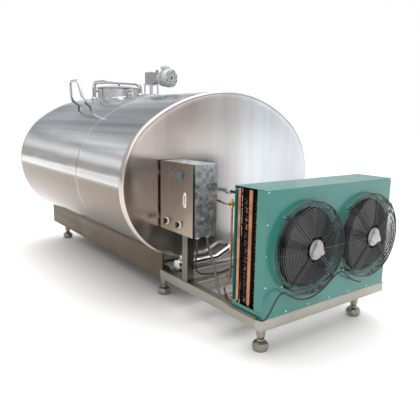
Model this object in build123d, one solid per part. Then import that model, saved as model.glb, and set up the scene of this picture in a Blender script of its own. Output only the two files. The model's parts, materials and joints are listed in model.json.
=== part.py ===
from build123d import *
import math
import os

os.makedirs("parts", exist_ok=True)

# Bulk milk tank with its cooling unit, in millimetres.
# X runs across the tank, Y along it from the cooling unit to the rear, Z up from the floor.
# The origin is on the floor, midway along and across the whole machine.

# ---------------------------------------------------------------- tank
tank_length = 2455
tank_half_width = 924
tank_rise = 689             # from the widest line to the top
tank_drop = 622             # from the widest line to the bottom
tank_corner_radius = 565
widest_height = 916         # widest line above the floor
outer_sheet = 2
inner_sheet = 2.5
foam_wall = 60
end_flange = 45             # depth of the end caps' turned edge
end_knuckle = 18
inner_knuckle = 45
joint_strip_width = 14
joint_strip_sheet = 1
joint_strip_place = 827     # middle of the strip, behind the tank's front end
evaporator_sheet = 3
evaporator_half_width = 520

# ---------------------------------------------------------------- layout along Y
unit_nose = 100             # fan motors' noses in front of the frame
tank_setback = 1075         # frame front to tank front
skirt_setback = 1126
skirt_length = 2474
front = -(skirt_setback + skirt_length - unit_nose) / 2
tank_front = front + tank_setback
tank_rear = tank_front + tank_length
tank_top = widest_height + tank_rise

# ---------------------------------------------------------------- base
frame_width = 1180
rail_width = 60
rail_height = 72
rail_wall = 3
rail_floor_gap = 200        # underside of the frame above the floor
beam_places = [140, 430, 747, 995]          # middles of the front frame's cross beams
saddle_places = [156, 1234, 2326]           # middles of the tank's cross beams, behind the skirt's front
saddle_sheet = 12
base_beam_middle = 527      # tank base beams, each side of the middle
skirt_half_width = 569
skirt_sheet = 3
skirt_low = 186
leg_half_spacing = 462
leg_top_radius = 36
leg_low_radius = 25
leg_low = 84
foot_base_radius = 46
foot_dome_radius = 52
foot_dome_height = 36
foot_neck_radius = 23
foot_height = 76
spindle_radius = 12
running_gap = 0.05
rail_top = rail_floor_gap + rail_height

# ---------------------------------------------------------------- top fittings
manhole_place = 1900        # middle of the manhole, behind the tank's front end
manhole_radius = 225
manhole_sheet = 3
manhole_rim = 1690
lid_radius = 243
lid_edge = 8
lid_sheet = 3
lid_rise = 28
seal_height = 6
hinge_angle = 30
hinge_reach = 268
hinge_pin_radius = 5
clamp_angles = [150, 270]
clamp_reach = 268
clamp_radius = 6
clamp_length = 63
clamp_knob_radius = 17
agitator_place = 1200       # agitator shaft, behind the tank's front end
motor_skew = 15             # motor turned about the shaft
stand_radius = 95
gear_case_low = 1713
gear_case_height = 112
gear_case_length = 98
gear_case_width = 78
stage_length = 66
motor_height = 1762
neck_length = 43
neck_radius = 46
motor_radius = 75
motor_frame_length = 66
cowl_radius = motor_radius + 8
cowl_length = 46
shaft_radius = 16
paddle_span = 620
paddle_height = 120
paddle_low = 470
cip_radius = 19
cip_wall = 1.5
rail_tube_radius = 14

# ---------------------------------------------------------------- cooling unit
unit_width = 1165
unit_depth = 270
unit_height = 748
case_sheet = 2
case_return = 75
fan_offsets = [-245, 318]
fan_height = 656
fan_hole_radius = 245
fan_ring_depth = 30
blade_tip_radius = 238
blade_pitch = 27
blade_sheet = 3
fan_blades = 5
drum_radius = 68
guard_radius = 278
guard_wire = 2.2
guard_front = 70
guard_ring_step = 13
coil_front = 75
coil_depth = 175
coil_side_gap = 45
tube_pitch = 25
bend_wire = 4.8
header_radii = [12.5, 15]
header_places = [242, 140]
compressor_place = (150, 590)
compressor_radius = 112
compressor_height = 400
receiver_place = (-170, 590)
receiver_radius = 70
receiver_height = 330

# ---------------------------------------------------------------- control cabinet
cabinet_left = -625
cabinet_front = 650
cabinet_width = 405
cabinet_depth = 180
cabinet_low = 618
cabinet_height = 486
cabinet_sheet = 1.5
door_thickness = 15
door_gap = 1
door_pin_radius = 3
post_width = 56
post_depth = 66
post_front = 770
post_left = -583


# ---------------------------------------------------------------- helpers
def save(name, *pieces):
    """Write one node: every solid of the pieces, in one file."""
    solids = [solid for piece in pieces for solid in piece.solids()]
    export_step(Compound(children=solids, label=name), f"parts/{name}.step")
    print(name, len(solids), round(sum(solid.volume for solid in solids)))


def block(x0, x1, y0, y1, z0, z1):
    """A box between its low and high corners."""
    middle = Pos((x0 + x1) / 2, (y0 + y1) / 2, (z0 + z1) / 2)
    return middle * Box(x1 - x0, y1 - y0, z1 - z0)


def rod(x, y, z0, z1, radius):
    """An upright cylinder."""
    return Pos(x, y, (z0 + z1) / 2) * Cylinder(radius, z1 - z0)


def rod_y(x, z, y0, y1, radius):
    """A cylinder along Y."""
    return Pos(x, (y0 + y1) / 2, z) * Rot(90, 0, 0) * Cylinder(radius, y1 - y0)


def rod_x(y, z, x0, x1, radius):
    """A cylinder along X."""
    return Pos((x0 + x1) / 2, y, z) * Rot(0, 90, 0) * Cylinder(radius, x1 - x0)


def box_tube(x0, x1, y0, y1, z0, z1, wall, along):
    """A rectangular tube, open at both ends along X, Y or Z."""
    cut = {"X": (0, wall, wall), "Y": (wall, 0, wall), "Z": (wall, wall, 0)}[along]
    hollow = block(x0 + cut[0], x1 - cut[0], y0 + cut[1], y1 - cut[1], z0 + cut[2], z1 - cut[2])
    return block(x0, x1, y0, y1, z0, z1) - hollow


def bent_path(points, radii):
    """Straight runs joined by tangent arcs."""
    return FilletPolyline(*points, radius=radii) if len(points) > 2 else Polyline(*points)


def bent_rod(points, radii, radius, bore=0):
    """A round bar or tube along a bent path."""
    path = bent_path(points, radii)
    end = Plane(origin=path @ 0, z_dir=path % 0)
    section = end * Circle(radius)
    if bore:
        section -= end * Circle(bore)
    return sweep(section, path=path)


def turned(profile):
    """A solid of revolution about Z from (radius, height) corners."""
    outline = Polyline(*[(r, 0, z) for r, z in profile], close=True)
    return revolve(make_face(outline), axis=Axis.Z)


# ---------------------------------------------------------------- tank body
corner_radius = min(tank_corner_radius, 0.92 * tank_rise, 0.92 * tank_drop)
side_centre = tank_half_width - corner_radius


def arch_radius(height):
    """Radius of the wide arc that meets both corner arcs at this rise or drop."""
    spare = tank_half_width ** 2 + height ** 2 - 2 * tank_half_width * corner_radius
    return spare / (2 * (height - corner_radius))


def skin_height(across):
    """Height of the tank's top surface at this distance from its middle line."""
    radius = arch_radius(tank_rise)
    return tank_top - radius + math.sqrt(radius ** 2 - across ** 2)


def shoulder(height, inset):
    """Point where the corner arc meets the wide arc, moved in by the inset."""
    centre = height - arch_radius(height)
    reach = math.hypot(side_centre, centre)
    radius = corner_radius - inset
    return side_centre + radius * side_centre / reach, -radius * centre / reach


def oval(inset, y):
    """The tank's section at y: four arcs that meet smoothly, moved in by the inset."""
    high_x, high_z = shoulder(tank_rise, inset)
    low_x, low_z = shoulder(tank_drop, inset)

    def point(x, z):
        return Vector(x, y, widest_height + z)

    side = tank_half_width - inset
    arcs = [
        ThreePointArc(point(-high_x, high_z), point(0, tank_rise - inset), point(high_x, high_z)),
        ThreePointArc(point(high_x, high_z), point(side, 0), point(low_x, -low_z)),
        ThreePointArc(point(low_x, -low_z), point(0, inset - tank_drop), point(-low_x, -low_z)),
        ThreePointArc(point(-low_x, -low_z), point(-side, 0), point(-high_x, high_z)),
    ]
    return Face(Wire(arcs))


def drum(inset, y0, y1, knuckle=0):
    """A closed oval drum with rounded end edges."""
    solid = extrude(oval(inset, y0), amount=y1 - y0, dir=(0, 1, 0))
    if knuckle:
        ends = [e for e in solid.edges() if min(abs(e.center().Y - y0), abs(e.center().Y - y1)) < 0.01]
        solid = fillet(ends, knuckle)
    return solid


inner_inset = outer_sheet + foam_wall
milk_inset = inner_inset + inner_sheet
strip_low = tank_front + joint_strip_place - joint_strip_width / 2
strip_high = strip_low + joint_strip_width
outer_form = drum(0, tank_front, tank_rear, end_knuckle)
strip_form = drum(-joint_strip_sheet, strip_low, strip_high)
foam_form = drum(outer_sheet, tank_front + outer_sheet, tank_rear - outer_sheet, end_knuckle - outer_sheet)
inner_form = drum(inner_inset, tank_front + inner_inset, tank_rear - inner_inset, inner_knuckle)
milk_form = drum(milk_inset, tank_front + milk_inset, tank_rear - milk_inset, inner_knuckle - inner_sheet)

manhole_y = tank_front + manhole_place
agitator_y = tank_front + agitator_place
milk_low = widest_height - tank_drop + milk_inset
milk_top = tank_top - milk_inset
far = 3000                  # longer than any part, for cutting blocks

spray_place = -290          # left spray ball, across the tank
cip_points = [
    (spray_place, manhole_y - 10, skin_height(spray_place) - 83),
    (spray_place, manhole_y - 10, tank_top + 142),
    (spray_place, manhole_y - 315, tank_top + 136),
    (0, agitator_y + 225, tank_top + 124),
    (0, agitator_y + 225, tank_top - 120),
]
outlet_height = milk_low + 32
outlet_radius = 25.5
outlet_bore = 24
outlet_y = tank_front - 70
outlet_points = [
    (0, tank_front + milk_inset + 3, outlet_height),
    (0, outlet_y, outlet_height),
    (-150, outlet_y, outlet_height - 66),
    (-455, outlet_y, outlet_height - 66),
]
suction_port = (21, 830)
liquid_port = (-330, 862)
port_radius = 11


def port_cutters():
    """Round holes for everything that passes through the tank's walls."""
    cutters = [
        rod(0, manhole_y, widest_height, manhole_rim, manhole_radius),
        rod(0, agitator_y, widest_height, tank_top + 20, shaft_radius + 24),
        rod(cip_points[0][0], cip_points[0][1], widest_height, tank_top + 20, cip_radius),
        rod(cip_points[-1][0], cip_points[-1][1], widest_height, tank_top + 20, cip_radius),
        rod_y(0, outlet_height, tank_front - 1, tank_front + milk_inset + 60, outlet_radius),
    ]
    for x, z in (suction_port, liquid_port):
        cutters.append(rod_y(x, z, tank_front - 1, tank_front + inner_inset, port_radius))
    return cutters


ports = port_cutters()


def slab(y0, y1):
    """Everything between two cross planes."""
    return block(-far, far, y0, y1, -far, far)


def make_outer_skin():
    """The outer jacket: a barrel and two flanged end caps."""
    skin = outer_form - foam_form - ports
    seam_front = tank_front + end_flange
    seam_rear = tank_rear - end_flange
    strip = strip_form - drum(0, strip_low - 1, strip_high + 1)
    save("jacket_barrel", skin & slab(seam_front, seam_rear), strip)
    caps = [skin & slab(tank_front - 1, seam_front), skin & slab(seam_rear, tank_rear + 1)]
    save("jacket_end_caps", *caps)


def make_inner_tank():
    """The milk vessel, its cooling plate underneath and the foam around both."""
    vessel = inner_form - milk_form - ports
    seam_front = tank_front + inner_inset + inner_knuckle
    seam_rear = tank_rear - inner_inset - inner_knuckle
    sections = [(tank_front, seam_front), (seam_front, seam_rear), (seam_rear, tank_rear)]
    plate = drum(inner_inset - evaporator_sheet, seam_front, seam_rear) - inner_form
    plate &= block(-evaporator_half_width, evaporator_half_width, -far, far, 0, widest_height)
    save("milk_vessel", *[vessel & slab(y0, y1) for y0, y1 in sections], plate)
    save("foam_insulation", foam_form - inner_form - plate - ports)


def make_base():
    """Tank base beams, cross beams, saddles and side skirts."""
    rear = front + skirt_setback + skirt_length
    start = front + skirt_setback
    half = rail_width / 2
    beams = []
    for side in (-1, 1):
        x = side * base_beam_middle
        beams.append(box_tube(x - half, x + half, start + skirt_sheet, rear - skirt_sheet,
                              rail_floor_gap, rail_top, rail_wall, "Y"))
    inner = base_beam_middle - half
    crosses = []
    saddles = []
    for place in saddle_places:
        y = start + place
        crosses.append(box_tube(-inner, inner, y - half, y + half, rail_floor_gap, rail_top, rail_wall, "X"))
        cradle = block(-inner, inner, y - saddle_sheet / 2, y + saddle_sheet / 2, rail_top, widest_height)
        cradle -= outer_form
        cradle &= block(-inner, inner, -far, far, rail_top, rail_top + 110)
        saddles.append(cradle)
    save("tank_base", *beams, *crosses, *saddles)
    skirts = []
    skirt_top = widest_height - math.sqrt(corner_radius ** 2 - (skirt_half_width - side_centre) ** 2)
    for side in (-1, 1):
        outer = side * skirt_half_width
        wall = block(min(outer, outer - side * skirt_sheet), max(outer, outer - side * skirt_sheet),
                     start, rear, skirt_low, skirt_top)
        lip_inner = outer - side * 30
        lip = block(min(outer, lip_inner), max(outer, lip_inner), start, rear, skirt_low, skirt_low + skirt_sheet)
        ends = [block(min(outer, lip_inner + side * 18), max(outer, lip_inner + side * 18), y, y + skirt_sheet,
                      skirt_low, skirt_top) for y in (start, rear - skirt_sheet)]
        skirts.append((wall + lip + ends) - outer_form - strip_form)
    save("side_skirts", *skirts)


def make_front_frame():
    """Two side rails and the cross beams that carry the cooling unit."""
    half = frame_width / 2
    rear = front + skirt_setback
    rails = [box_tube(x, x + rail_width, front + rail_width, rear, rail_floor_gap, rail_top, rail_wall, "Y")
             for x in (-half, half - rail_width)]
    front_rail = box_tube(-half, half, front, front + rail_width, rail_floor_gap, rail_top, rail_wall, "X")
    for x in (-half, half - rail_wall):
        front_rail += block(x, x + rail_wall, front, front + rail_width, rail_floor_gap, rail_top)
    rails.append(front_rail)
    save("frame_rails", *rails)
    inner = half - rail_width
    beams = []
    for place in beam_places:
        y = front + place
        beams.append(box_tube(-inner, inner, y - rail_width / 2, y + rail_width / 2,
                              rail_floor_gap, rail_top, rail_wall, "X"))
    save("cross_beams", *beams)


def leg_spots():
    """The six legs: two under the cooling unit and four under the tank."""
    rows = [front + beam_places[0], front + skirt_setback + saddle_places[0],
            front + skirt_setback + saddle_places[-1]]
    return [(side * leg_half_spacing, y) for y in rows for side in (-1, 1)]


def make_legs():
    """Tapered legs, and the feet that screw into them."""
    bore = spindle_radius + running_gap
    legs = []
    feet = []
    for x, y in leg_spots():
        cone = turned([(bore, leg_low), (leg_low_radius, leg_low), (leg_top_radius, rail_floor_gap - 12),
                       (leg_top_radius + 6, rail_floor_gap - 8), (leg_top_radius + 6, rail_floor_gap),
                       (bore, rail_floor_gap)])
        legs.append(Pos(x, y, 0) * cone)
        foot = turned([(0, 0), (foot_base_radius, 0), (foot_base_radius, 8),
                       (foot_dome_radius, foot_dome_height - 12), (foot_dome_radius, foot_dome_height),
                       (foot_dome_radius - 9, foot_dome_height + 18), (foot_neck_radius, foot_height - 10),
                       (foot_neck_radius, foot_height), (spindle_radius, foot_height),
                       (spindle_radius, rail_floor_gap - 14), (0, rail_floor_gap - 14)])
        feet.append(Pos(x, y, 0) * foot)
    save("legs", *legs)
    save("feet", *feet)


# ---------------------------------------------------------------- manhole
lid_low = manhole_rim + seal_height


def around(angle, reach, z=0):
    """A place around the manhole, with X pointing outwards."""
    return Pos(0, manhole_y, z) * Rot(0, 0, angle) * Pos(reach, 0, 0)


def make_manhole():
    """Neck with hinge ears and clamp lugs, its seal, and the domed lid."""
    neck = rod(0, manhole_y, milk_top - 60, manhole_rim, manhole_radius)
    neck -= rod(0, manhole_y, milk_top - 70, manhole_rim + 1, manhole_radius - manhole_sheet)
    neck -= milk_form
    neck += rod(0, manhole_y, manhole_rim - 4, manhole_rim, manhole_radius + 8) - \
        rod(0, manhole_y, manhole_rim - 5, manhole_rim + 1, manhole_radius - manhole_sheet)
    pin_height = lid_low + 2
    ear_root = manhole_radius - hinge_reach - 4
    for side in (-1, 1):
        ear = block(ear_root, 9, side * 34 - 4, side * 34 + 4, pin_height - 44, pin_height - 12)
        ear += block(-8, 9, side * 34 - 4, side * 34 + 4, pin_height - 20, pin_height + 8)
        ear -= rod_y(0, pin_height, -50, 50, hinge_pin_radius)
        neck += around(hinge_angle, hinge_reach) * ear
    for angle in clamp_angles:
        for side in (-1, 1):
            lug = block(manhole_radius - clamp_reach - 2, 8, side * 12 - 3, side * 12 + 3,
                        manhole_rim - 34, manhole_rim - 8)
            lug -= rod_y(0, manhole_rim - 18, -30, 30, 4)
            neck += around(angle, clamp_reach) * lug
    seal = rod(0, manhole_y, manhole_rim, lid_low, manhole_radius + 4)
    seal -= rod(0, manhole_y, manhole_rim - 1, lid_low + 1, manhole_radius - 8)
    save("manhole_seal", seal)
    hinge_pin = around(hinge_angle, hinge_reach, pin_height) * Rot(90, 0, 0) * Cylinder(hinge_pin_radius, 78)
    clamp_pins = [around(a, clamp_reach, manhole_rim - 18) * Rot(90, 0, 0) * Cylinder(4, 31) for a in clamp_angles]
    save("manhole_neck", neck, hinge_pin, *clamp_pins)
    dome_radius = (lid_radius ** 2 + lid_rise ** 2) / (2 * lid_rise)
    edge_top = lid_low + lid_edge

    def dome(shrink):
        ball = Pos(0, manhole_y, edge_top + lid_rise - dome_radius) * Sphere(dome_radius - shrink)
        return ball & block(-far, far, -far, far, edge_top - 0.01, far)

    rim = rod(0, manhole_y, lid_low, edge_top, lid_radius)
    rim -= rod(0, manhole_y, lid_low + lid_sheet, edge_top + 1, lid_radius - lid_sheet)
    rim -= rod(0, manhole_y, lid_low - 1, edge_top + 1, manhole_radius - 30)
    lid = rim + (dome(0) - dome(lid_sheet))
    knuckle = block(lid_radius - hinge_reach - 2, 0, -29, 29, pin_height - 5, pin_height + 7)
    knuckle += Pos(0, 0, pin_height) * Rot(90, 0, 0) * Cylinder(10, 58)
    knuckle -= rod_y(0, pin_height, -50, 50, hinge_pin_radius + running_gap)
    lid += around(hinge_angle, hinge_reach) * knuckle
    for angle in clamp_angles:
        fork = block(lid_radius - clamp_reach - 3, 14, -17, 17, lid_low + 2, lid_low + 10)
        fork -= block(-clamp_radius - 2, 20, -clamp_radius - 2, clamp_radius + 2, lid_low, lid_low + 20)
        lid += around(angle, clamp_reach) * fork
    save("manhole_lid", lid)
    knob_base = edge_top + lid_rise
    knob = Pos(0, manhole_y, 0) * turned([(0, knob_base - 1), (9, knob_base - 1), (9, knob_base + 10),
                                          (22, knob_base + 14), (22, knob_base + 20), (14, knob_base + 24),
                                          (0, knob_base + 24)])
    save("lid_knob", knob - (Pos(0, manhole_y, edge_top + lid_rise - dome_radius) * Sphere(dome_radius)))
    for number, angle in enumerate(clamp_angles, start=1):
        pivot = manhole_rim - 18
        eye = Pos(0, 0, pivot) * Rot(90, 0, 0) * Cylinder(11, 16)
        bolt = eye + rod(0, 0, pivot - clamp_length, pivot, clamp_radius)
        bolt -= rod_y(0, pivot, -20, 20, 4 + running_gap)
        hub = rod(0, 0, pivot - clamp_length + 4, pivot - clamp_length + 24, 11)
        wings = [Rot(0, 0, a) * Pos(clamp_knob_radius - 6, 0, pivot - clamp_length + 14) * Cylinder(6, 18)
                 for a in (0, 120, 240)]
        wing_nut = (hub + wings) - rod(0, 0, pivot - clamp_length, pivot, clamp_radius + running_gap)
        save(f"swing_clamp_{number}", around(angle, clamp_reach) * bolt, around(angle, clamp_reach) * wing_nut)


# ---------------------------------------------------------------- agitator and its drive
def drive_place():
    return Pos(0, agitator_y, 0) * Rot(0, 0, motor_skew)


def make_agitator():
    """Drive stand, gear case, motor, and the shaft with its paddle."""
    place = drive_place()
    stand_low = tank_top + 12
    pad = rod(0, agitator_y, tank_top - 30, stand_low, stand_radius) - outer_form
    pad -= rod(0, agitator_y, 0, far, shaft_radius + 24)
    sleeve = rod(0, agitator_y, milk_top - 20, stand_low, shaft_radius + 24)
    sleeve -= rod(0, agitator_y, 0, far, shaft_radius + 20)
    base = pad + (sleeve - milk_form)
    pillars = [place * Rot(0, 0, angle) * rod(62, 0, stand_low, gear_case_low - 8, 8)
               for angle in (45, 135, 225, 315)]
    top = block(-54, 54, -54, 54, gear_case_low - 8, gear_case_low) - rod(0, 0, 0, far, shaft_radius + 20)
    bush = [(shaft_radius + running_gap, 0), (shaft_radius + 20, 0), (shaft_radius + 20, 14),
            (shaft_radius + running_gap, 14)]
    bushes = [Pos(0, agitator_y, z) * turned(bush) for z in (milk_top, gear_case_low - 14)]
    save("drive_stand", base, *pillars, place * top, *bushes)

    half_l = gear_case_length / 2
    half_w = gear_case_width / 2
    gear_top = gear_case_low + gear_case_height
    case = fillet(block(-half_w, half_w, -half_l, half_l, gear_case_low, gear_top).edges(), 5)
    stage_end = -half_l - stage_length
    stage = block(-half_w, half_w, stage_end, -half_l, gear_case_low + 4, gear_top - 4)
    case += fillet(stage.edges(), 4)
    case += block(-half_w + 6, half_w - 6, -half_l - 4, -half_l + 4, gear_case_low + 8, gear_top - 8)
    chamber = block(-half_w + 7, half_w - 7, -half_l + 7, half_l - 7, gear_case_low + 8, gear_top - 8)
    case -= chamber
    case -= rod_y(0, motor_height, stage_end - 1, 0, 20)
    case -= rod(0, 0, 0, gear_case_low + 20, shaft_radius + 0.4)
    case += [rod(0, 0, gear_top, gear_top + 6, 10), rod(0, -half_l - 30, gear_top - 4, gear_top + 18, 15)]
    save("gear_case", place * case)

    shaft_top = motor_height - 22
    shaft = rod(0, 0, paddle_low, shaft_top, shaft_radius)
    hub = rod(0, 0, paddle_low - 6, paddle_low + paddle_height + 6, shaft_radius + 10)
    wheel = turned([(shaft_radius, shaft_top - 18), (30, shaft_top - 18), (30, shaft_top - 8),
                    (20, shaft_top), (shaft_radius, shaft_top)])
    blades = []
    for side in (-1, 1):
        blade = Box(paddle_span / 2 - 20, 5, paddle_height)
        tilt = Pos(side * (paddle_span / 4 + 10), 0, paddle_low + paddle_height / 2) * Rot(side * 35, 0, 0)
        blades.append(tilt * blade)
    paddle = (hub + blades) - rod(0, 0, 0, far, shaft_radius)
    save("agitator", place * shaft, place * wheel, place * paddle)

    pinion = turned([(0, 20), (20, 20), (12, 34), (0, 34)])
    pinion += rod(0, 0, 34, half_l + 30, 9)
    pinion_axis = Pos(0, 0, motor_height) * Rot(90, 0, 0)
    save("bevel_pinion", place * pinion_axis * pinion)

    neck_end = half_l + stage_length + neck_length
    frame_end = neck_end + motor_frame_length
    cowl_end = neck_end + motor_frame_length + cowl_length
    neck = turned([(20, half_l + stage_length), (neck_radius, half_l + stage_length), (neck_radius, neck_end),
                   (20, neck_end)])
    neck += turned([(20, neck_end - 10), (motor_radius - 6, neck_end - 10), (motor_radius - 6, neck_end),
                    (20, neck_end)])
    frame = turned([(motor_radius - 13, neck_end), (motor_radius - 8, neck_end), (motor_radius - 8, frame_end),
                    (motor_radius - 13, frame_end)])
    fins = []
    for number in range(30):
        fin = block(motor_radius - 9, motor_radius, -1.5, 1.5, neck_end + 3, frame_end - 3)
        fins.append(Rot(0, 0, 12 * number) * fin)
    rotor = turned([(0, half_l + 36), (12, half_l + 36), (12, neck_end + 6), (motor_radius - 18, neck_end + 6),
                    (motor_radius - 18, frame_end - 8), (12, frame_end - 8), (12, cowl_end - 16), (0, cowl_end - 16)])
    vanes = [Rot(0, 0, 60 * n) * block(11, cowl_radius - 12, -1.5, 1.5, frame_end + 3, cowl_end - 17)
             for n in range(6)]
    save("motor_rotor", place * pinion_axis * (rotor + vanes))
    cowl = turned([(cowl_radius - 3, frame_end - 5), (cowl_radius, frame_end - 5), (cowl_radius, cowl_end - 6),
                   (cowl_radius - 8, cowl_end), (14, cowl_end), (14, cowl_end - 3), (cowl_radius - 10, cowl_end - 3),
                   (cowl_radius - 3, cowl_end - 8)])
    for ring in (30, 48, 66):
        for number in range(8):
            cut = Rot(0, 0, 45 * number + ring) * Pos(ring, 0, cowl_end - 2) * Box(9, ring * 0.5, 20)
            cowl -= cut
    spacers = [Rot(0, 0, 90 * n + 45) * block(motor_radius - 7, cowl_radius - 2.5, -4, 4, frame_end - 2.8,
                                              frame_end + 1) for n in range(4)]
    cowl += spacers
    save("motor_fan_cowl", place * pinion_axis * cowl)
    lid_height = motor_height + motor_radius + 34
    terminals = block(-34, 34, -frame_end + 6, -neck_end + 2, motor_height + motor_radius + 0.2, lid_height)
    save("motor_housing", place * pinion_axis * neck, place * pinion_axis * (frame + fins),
         place * fillet(terminals.edges(), 5))


def make_top_pipes():
    """Cleaning pipe with its two spray balls, and the grab rail."""
    pipe = bent_rod(cip_points, [45, 60, 45], cip_radius, cip_radius - cip_wall)
    unions = []
    for x, y, z in (cip_points[0], cip_points[-1]):
        unions.append(rod(x, y, skin_height(x) - 30, tank_top + 34, cip_radius + 11) - outer_form
                      - rod(x, y, 0, far, cip_radius))
    balls = [Pos(x, y, z - 22) * Sphere(26) - rod(x, y, z - 1, far, cip_radius)
             for x, y, z in (cip_points[0], cip_points[-1])]
    save("cleaning_pipe", pipe, *unions, *balls)
    root = 484 - tank_half_width
    grip_points = [
        (root, manhole_y - 25, tank_top - 110),
        (root - 105, manhole_y - 25, tank_top - 42),
        (root - 132, manhole_y - 80, tank_top + 130),
        (root - 150, manhole_y - 335, tank_top + 130),
        (root - 138, manhole_y - 413, tank_top - 49),
        (root - 40, manhole_y - 405, tank_top - 135),
    ]
    grip = bent_rod(grip_points, [45, 70, 70, 45], rail_tube_radius, rail_tube_radius - 2)
    save("grab_rail", (grip - outer_form).solids().sort_by(SortBy.VOLUME)[-1])


# ---------------------------------------------------------------- milk outlet
def make_outlet():
    """Outlet pipe, butterfly valve with its lever, and the end cap."""
    pipe = bent_rod(outlet_points, [45, 60], outlet_radius, outlet_bore)
    x, y, z = outlet_points[-1]
    flange = rod_x(y, z, x - 4, x + 4, 36) - rod_x(y, z, x - 10, x + 10, outlet_bore)
    save("outlet_pipe", pipe - (rod_x(y, z, x - 5, x + 4, 40)), flange)
    body = rod_x(y, z, x - 40, x - 4.2, 42) - rod_x(y, z, x - 50, x, outlet_bore)
    stem_x = x - 22
    body += rod(stem_x, y, z + 38, z + 56, 12)
    body -= rod(stem_x, y, z, z + 80, 6 + running_gap)
    body -= rod(stem_x, y, z - 34, z, 6 + running_gap)
    disc = rod_x(y, z, stem_x - 2, stem_x + 2, outlet_bore - 0.4)
    disc += rod(stem_x, y, z - 33, z + 64, 6)
    lever = rod(stem_x, y, z + 58, z + 70, 13) + block(stem_x - 9, stem_x + 9, y - 120, y, z + 61, z + 67)
    save("outlet_valve_lever", lever - rod(stem_x, y, z, z + 64, 6), disc)
    cap = rod_x(y, z, x - 64, x - 40.2, 38) - rod_x(y, z, x - 60, x - 30, outlet_bore)
    save("outlet_valve_body", body, cap)


# ---------------------------------------------------------------- cooling unit
unit_left = -frame_width / 2
unit_right = unit_left + unit_width
unit_top = rail_top + unit_height
coil_left = unit_left + coil_side_gap
coil_right = unit_right - coil_side_gap
coil_low = rail_top + 26
coil_top = unit_top - 16


def make_unit_case():
    """Folded sheet case: fan panel, top, base tray, rear strips and the coil's plates."""
    back = front + unit_depth
    panel = block(unit_left, unit_right, front, front + case_sheet, rail_top, unit_top)
    for x0 in (unit_left, unit_right - case_sheet):
        panel += block(x0, x0 + case_sheet, front, front + case_return, rail_top + 40, unit_top - 3)
    for offset in fan_offsets:
        panel -= rod_y(offset, fan_height, front - 5, front + 5, fan_hole_radius)
        ring = rod_y(offset, fan_height, front, front + fan_ring_depth, fan_hole_radius + 2)
        panel += ring - rod_y(offset, fan_height, front - 1, front + fan_ring_depth + 1, fan_hole_radius)
    save("fan_panel", panel)
    top = block(unit_left, unit_right, front + case_sheet, back, unit_top - case_sheet, unit_top)
    top += block(unit_left, unit_right, back - case_sheet, back, unit_top - 22, unit_top)
    save("case_top", top)
    tray = block(unit_left, unit_right, front + case_sheet, back, rail_top, rail_top + case_sheet)
    for x0 in (unit_left, unit_right - case_sheet):
        tray += block(x0, x0 + case_sheet, front + case_sheet, back, rail_top, rail_top + 38)
    strips = []
    for x0, x1 in ((unit_left, unit_left + 26), (unit_right - 26, unit_right)):
        strips.append(block(x0, x1, back - case_sheet, back, rail_top + 40, unit_top - 24))
    coil_y = front + coil_front
    plates = [block(x - case_sheet, x, coil_y, coil_y + coil_depth, rail_top + case_sheet, unit_top - case_sheet)
              for x in (coil_left, coil_right + case_sheet)]
    baffles = [block(x0, x1, coil_y - case_sheet, coil_y, rail_top + 40, unit_top - 3)
               for x0, x1 in ((unit_left + case_sheet, coil_left), (coil_right, unit_right - case_sheet))]
    save("case_tray", tray, *strips, *plates, *baffles)
    screws = []
    for x in (unit_left + 14, unit_right - 14):
        for step in range(4):
            screws.append(rod_y(x, unit_top - 10 - 181 * step, front - 2, front, 5))
    for step in range(5):
        screws.append(rod_y(unit_left + 190 + 197 * step, rail_top + 14, front - 2, front, 5))
    save("case_screws", *screws)


def make_coil():
    """Finned block, end plates, return bends and the two upright headers."""
    y0 = front + coil_front
    y1 = y0 + coil_depth
    save("fin_block", block(coil_left, coil_right, y0 + 8, y1 - 8, coil_low, coil_top))
    rows = int((coil_top - coil_low - 30) / (2 * tube_pitch))
    bends = []
    for side, x in ((-1, coil_left - case_sheet), (1, coil_right + case_sheet)):
        for y in (y0 + 24, y0 + 112):
            for row in range(rows):
                z = coil_low + 30 + 2 * tube_pitch * row
                ring = Pos(x, y, z) * Rot(90, 0, 0) * Torus(tube_pitch / 2, bend_wire)
                keep = block(min(x, x + side * 30), max(x, x + side * 30), -far, far, 0, far)
                bends.append(ring & keep)
    save("return_bends", *bends)
    header_x = coil_left - 27
    headers = []
    for place, radius in zip(header_places, header_radii):
        y = front + place
        low = rail_top + 52
        body = rod(header_x, y, low, unit_top - 14, radius)
        for row in range(6):
            body += rod_x(y, low + 40 + 105 * row, header_x, coil_left - case_sheet, 4.8)
        headers.append(body)
    drop = bent_rod([(header_x, front + header_places[1], rail_top + 52),
                     (header_x, front + header_places[1], rail_top + 22),
                     (header_x, front + 60, rail_top + 22)], [16], 8)
    save("coil_headers", headers[0], headers[1] + drop)


def make_impeller(number, x):
    """The turning drum of one fan, with its blades."""
    drum_back = front + 44
    body = rod_y(x, fan_height, front - 40, drum_back, drum_radius)
    body -= rod_y(x, fan_height, front - 41, front - 10, 12 + running_gap)
    outline = Polyline((58, -34), (120, -72), (205, -88), (268, -40), (262, 62), (190, 70), (120, 44), (58, 34),
                       close=True)
    blank = Pos(0, blade_sheet / 2, 0) * extrude(Plane.XZ * make_face(outline), amount=blade_sheet)
    sweep_ring = Rot(90, 0, 0) * (Cylinder(blade_tip_radius, 200) - Cylinder(drum_radius - 0.5, 200))
    blade = (Rot(blade_pitch, 0, 0) * blank) & sweep_ring
    hub = Pos(x, front - 16, fan_height)
    blades = [hub * Rot(0, 360 / fan_blades * step + 20 * number, 0) * blade for step in range(fan_blades)]
    save(f"fan_impeller_{number}", body + blades)


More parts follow.
